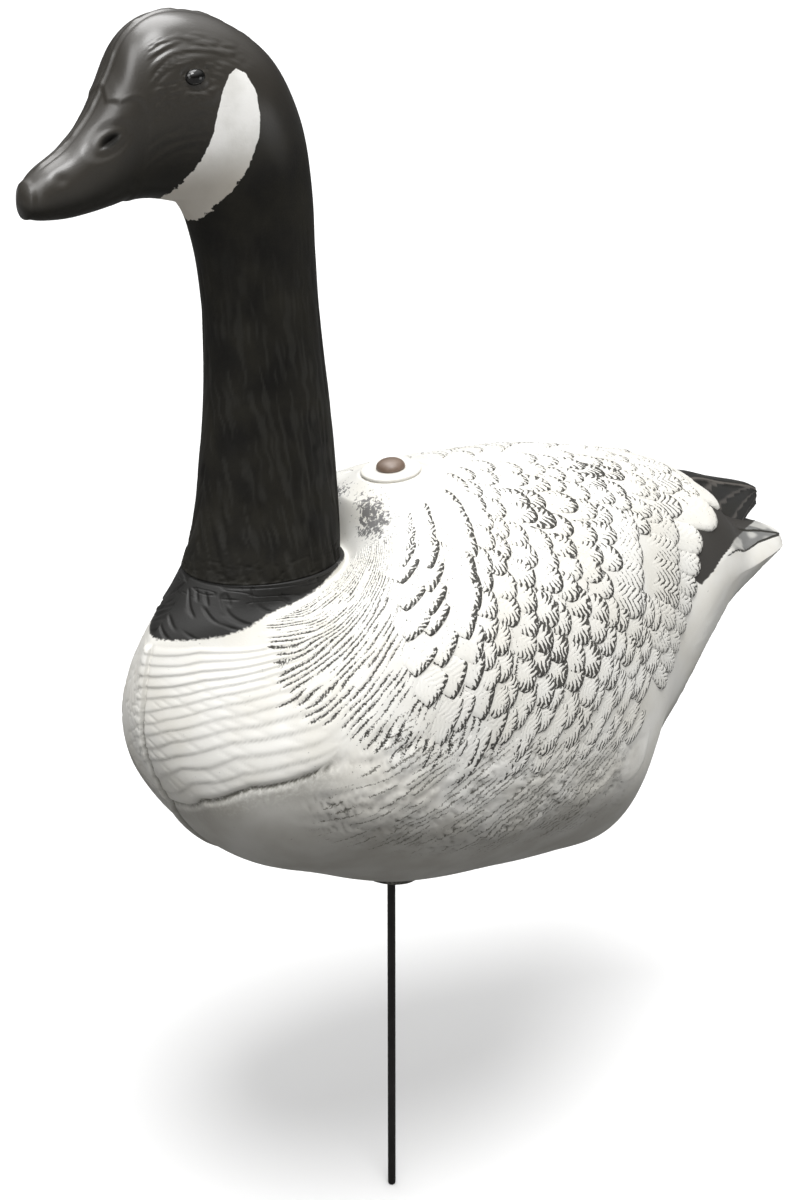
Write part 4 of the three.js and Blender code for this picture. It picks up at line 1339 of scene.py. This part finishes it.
class GOOSE_OT_head(bpy.types.Operator):
    """Makes the head and neck with bill, nostrils and cheek patch, and the eyes"""

    bl_idname = "goose.head"
    bl_label = "Make head and neck"

    def execute(self, context):
        paint, _, fittings, _ = settings_of(context)
        neck = np.linspace(0, NECK_END, NECK_RINGS, endpoint=False)
        positions = np.concatenate([neck, np.linspace(NECK_END, len(NECK_SECTIONS) - 1, HEAD_RINGS)])
        skin = loft_skin(NECK_SECTIONS, positions, stretched_angles(HEAD_SPANS), -1.0)
        points, values = head_surface(skin)
        start = ((NECK_SECTIONS[0][0] + NECK_SECTIONS[0][2]) / 2, 0.0, NECK_SECTIONS[0][1])
        head = skin_object(
            "head_and_neck_skin", skin, points, values, head_paint(paint), (start, BILL_TIP), turned=True)
        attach(head, "root")
        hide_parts("head_and_neck")
        gloss = simple_paint("eye_gloss", (0.004, 0.004, 0.004), (0.008, 0.007, 0.006), 0.13, 0.0, 60.0, 0.0)
        for side, word in ((1, "left"), (-1, "right")):
            eye = eye_bead("eye_" + word, side, fittings.eye_length / MM, gloss)
            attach(eye, "root")
        return {"FINISHED"}


def head_surface(skin):
    """Raised points and paint values of the head and neck."""
    x, y, z = np.moveaxis(skin.point, -1, 0)
    position, degrees, run, girth, apart = skin.position, skin.degrees, skin.run, skin.girth, skin.apart
    height = 0.18 * hills(run / 26, girth / 18 + skin.side * 5, 91)
    strokes = hills(girth / 3.4 + apart + 0.5 * hills(run / 22, girth / 9, 92), run / 24, 93)
    neck = (1 - smooth(4.0, 7.5, position)) * (0.35 + 0.65 * (1 - smooth(1.5, 3.5, position)))
    height -= 1.2 * neck * smooth(0.1, 0.75, strokes)
    # Wrinkles round the eye, kept off the cheek patch.
    cheek = inside_distance(CHEEK_PATCH, x, z)
    wave = 1.2 * hills(run / 16, girth / 10, 94)
    wrinkle = np.abs(hills((girth + 2.2 * wave) / 2.5 + apart, run / 13, 95))
    face = hump(position, 8.4, 9.2, 11.3, 11.8) * hump(degrees, 34, 52, 122, 138) * (1 - smooth(-5, 0, cheek))
    height += face * (0.62 * smooth(0.0, 0.5, wrinkle) - 0.33)
    # Joint line over the crown and the step at the root of the bill.
    crown = hump(position, 7.5, 8.5, 15.6, 16.4)
    ragged = 0.75 + 0.4 * hills(run / 5, skin.side * 0, 96)
    height += crown * (1.1 * ragged * bell(girth, 1.5) - 0.35 * bell(girth - 3.6, 1.0))
    bill = (position - lookup(BILL_LINE, degrees)) * skin.scale
    height += 0.2 * bell(bill + 2.0, 2.0) * smooth(11, 12, position) - 0.55 * smooth(-2.2, 2.2, bill)
    # Nostrils.
    slope = math.radians(33)
    dx, dz = x - NOSTRIL[0], z - NOSTRIL[1]
    lengthwise = dx * math.cos(slope) + dz * math.sin(slope)
    crosswise = -dx * math.sin(slope) + dz * math.cos(slope)
    ring = np.sqrt((lengthwise / 16.5) ** 2 + (crosswise / 9.2) ** 2)
    near = np.abs(y) > 8
    height -= near * 1.3 * (1 - smooth(0.6, 1.15, ring))
    height += near * 0.5 * bell(ring - 0.5, 0.22)
    height -= near * 1.9 * np.exp(-((crosswise / 1.3) ** 2 + (lengthwise / 4.8) ** 2))
    height -= near * 0.8 * bell(np.hypot(x - BILL_DIMPLE[0], z - BILL_DIMPLE[1]), 3.5)
    # Eye socket and brow.
    eye = np.hypot((x - EYE_SOCKET[0]) / 8.8, (z - EYE_SOCKET[1]) / 7.2)
    height -= 0.8 * bell(eye - 0.95, 0.3) * (degrees < 120)
    brow = np.exp(-(((z - 879.5 - 0.1 * (x + 162)) / 3.2) ** 2 + ((x + 163) / 15) ** 2))
    height += 0.7 * brow * (degrees < 110)
    cracks = np.abs(hills(girth / 7 + apart, run / 3.0, 97))
    height -= 0.8 * smooth(0.14, 0.02, cracks) * (1 - smooth(9, 20, run))
    height = height * smooth(0.0, 1.5, run) * (1 - smooth(16.6, 17.0, position))
    fine = hills(girth / 1.9 + apart + 0.7 * hills(run / 8, girth / 7, 99), run / 15, 100)
    # Gloss also lightens the black as a painted sheen; it drops where the surface faces down (painted shade)
    # and in the nostrils.
    under = smooth(0.2, -0.4, skin.normal[..., 2])
    gloss = smooth(6.4, 9.0, position) * (1 - 0.9 * under) * (1 - near * smooth(0.5, 0.25, ring))
    values = {
        "streak": (1 - smooth(3.0, 6.5, position)) * smooth(0.0, 0.7, fine),
        "patch": cheek + (0.3 + 1.6 * smooth(812, 790, z)) * hills(x / 2.6, z / 2.6, 98),
        "patch_low": smooth(836, 800, z),
        "gloss": gloss,
    }
    return skin.raised(height), values


class GOOSE_OT_fittings(bpy.types.Operator):
    """Makes the ground stake, the washer on the back and the domed cap"""

    bl_idname = "goose.fittings"
    bl_label = "Make stake and fittings"

    def execute(self, context):
        fittings = settings_of(context)[2]
        steel = simple_paint("stake_steel", (0.012, 0.011, 0.010), (0.024, 0.022, 0.020), 0.48, 0.55, 40.0)
        plastic = simple_paint("washer_plastic", (0.80, 0.78, 0.73), (0.74, 0.72, 0.66), 0.5, 0.0)
        brown = simple_paint("cap_plastic", (0.155, 0.105, 0.075), (0.19, 0.135, 0.10), 0.45, 0.0, 90.0)
        rod, disc, dome = (size / MM / 2 for size in (
            fittings.stake_diameter, fittings.washer_diameter, fittings.cap_diameter))
        top = WASHER_TOP - 0.6
        shaft = [(0, top), (rod - 0.5, top), (rod, top - 0.5)]
        shaft += [(rod, top + (2.0 - top) * k / 40) for k in range(1, 41)]
        shaft += [(rod - 0.35, 0.6), (rod - 1.0, 0.0), (0, 0.0)]
        rim = [(0, 0.0), (disc - 1.6, 0.0), (disc - 0.7, -0.15), (disc - 0.15, -0.55), (disc, -1.1),
               (disc, -1.9), (disc - 0.4, -2.4), (0, -2.4)]
        quarter = [math.pi / 2 * k / 16 for k in range(1, 17)]
        arc = [(0, 6.6)] + [(dome * math.sin(angle), 1.0 + 5.6 * math.cos(angle)) for angle in quarter]
        arc += [(dome, 0.35), (dome - 0.4, 0.0), (0, 0.0)]
        stake = lathe_object("ground_stake", shaft, 48, steel)
        washer = lathe_object("washer_disc", rim, 96, plastic, SEAT_TILT, WASHER_TOP)
        cap = lathe_object("domed_cap", arc, 64, brown, SEAT_TILT, CAP_FOOT)
        for piece, node, slot in ((stake, "stake", "black_steel"), (washer, "back_washer", "washer_plastic"),
                                  (cap, "stake_cap", "brown_plastic")):
            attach(piece, "root")
            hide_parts(node)
        return {"FINISHED"}


class GOOSE_OT_stage(bpy.types.Operator):
    """Sets the pale floor, soft lights and the camera"""

    bl_idname = "goose.stage"
    bl_label = "Set stage"

    def execute(self, context):
        stage = settings_of(context)[3]
        scene = context.scene
        self.make_floor(stage)
        self.make_sky(stage, scene)
        sun = bpy.data.lights.new("key_light", "SUN")
        sun.energy = stage.key_strength
        sun.angle = math.radians(KEY_ANGLE)
        in_scene("key_light", sun).rotation_euler = facing(KEY_PLACE, (0, 0, 0))
        for name, place, target, size, sheen_only in SOFT_LIGHTS:
            data = bpy.data.lights.new(name, "AREA")
            data.shape = "DISK"
            data.size = size
            data.energy = getattr(stage, name.replace("_light", "_power"))
            light = in_scene(name, data)
            light.location = place
            light.rotation_euler = facing(place, target)
            light.visible_diffuse = not sheen_only
        lens = bpy.data.cameras.new("camera")
        lens.lens = stage.lens
        lens.sensor_width = 36.0
        lens.sensor_fit = "AUTO"
        lens.clip_start, lens.clip_end = 0.05, 60.0
        camera = in_scene("camera", lens)
        camera.location = CAMERA_PLACE
        camera.rotation_euler = [math.radians(angle) for angle in CAMERA_TURN]
        scene.camera = camera
        scene.view_settings.view_transform = "Standard"
        return {"FINISHED"}

    def make_floor(self, stage):
        size, tone, dim = 16.0, stage.floor_tone, stage.floor_bounce
        mesh = bpy.data.meshes.new("floor")
        corners = [(-size, -size, 0), (size, -size, 0), (size, size, 0), (-size, size, 0)]
        mesh.from_pydata(corners, [], [(0, 1, 2, 3)])
        floor = in_scene("floor", mesh)
        material, shade, surface = new_material("floor_paper")
        second = (tone * 0.99, tone * 0.99, tone * 0.985)
        pale = shade.mix(shade.noise(shade.place(), 1.5, 2.0), (tone, tone, tone), second)
        # Pale to the camera, dimmer where it throws light back on the goose.
        seen = shade.add("ShaderNodeLightPath", (), "Is Camera Ray")
        dress(shade, surface, Base_Color=shade.mix(seen, (dim, dim, dim), pale), Specular_IOR_Level=0.2,
              Roughness=0.9)
        mesh.materials.append(material)

    def make_sky(self, stage, scene):
        world = bpy.data.worlds.new("soft_sky")
        world.use_nodes = True
        sky = Nodes(world.node_tree)
        up = sky.add("ShaderNodeSeparateXYZ", {0: sky.add("ShaderNodeTexCoord", (), "Generated")}, 2)
        background = world.node_tree.nodes["Background"]
        background.inputs[0].default_value = (1, 1, 1, 1)
        sky.feed(background.inputs[1], sky.blend(sky.step(up, 0.25, 0.95), stage.sky * 0.35, stage.sky * 7.0))
        scene.world = world


def facing(place, target):
    """Turn of a light at a place that shines on the target."""
    return (Vector(target) - Vector(place)).to_track_quat("-Z", "Y").to_euler()


class GOOSE_PT_panel(bpy.types.Panel):
    """Lists the steps and their settings"""

    bl_idname = "GOOSE_PT_panel"
    bl_label = "Garden Goose"
    bl_space_type = "VIEW_3D"
    bl_region_type = "UI"
    bl_category = "Goose"

    def draw(self, context):
        layout = self.layout
        for step in STEPS:
            layout.operator(step.bl_idname)
        for group in settings_of(context):
            for name in group.__annotations__:
                layout.prop(group, name)


STEPS = (GOOSE_OT_body, GOOSE_OT_feathers, GOOSE_OT_wing_tips, GOOSE_OT_head, GOOSE_OT_fittings,
         GOOSE_OT_stage)
GROUPS = (GoosePaint, GooseCarving, GooseFittings, GooseStage)
NAMES = ("goose_paint", "goose_carving", "goose_fittings", "goose_stage")


def register():
    for kind in (*GROUPS, *STEPS, GOOSE_PT_panel):
        bpy.utils.register_class(kind)
    for name, kind in zip(NAMES, GROUPS):
        setattr(bpy.types.Scene, name, bpy.props.PointerProperty(type=kind))


def unregister():
    for name in NAMES:
        delattr(bpy.types.Scene, name)
    for kind in reversed((*GROUPS, *STEPS, GOOSE_PT_panel)):
        bpy.utils.unregister_class(kind)


def main():
    register()
    for step in STEPS:
        area, name = step.bl_idname.split(".")
        getattr(getattr(bpy.ops, area), name)()
    bpy.context.view_layer.update()


if __name__ == "__main__":
    main()
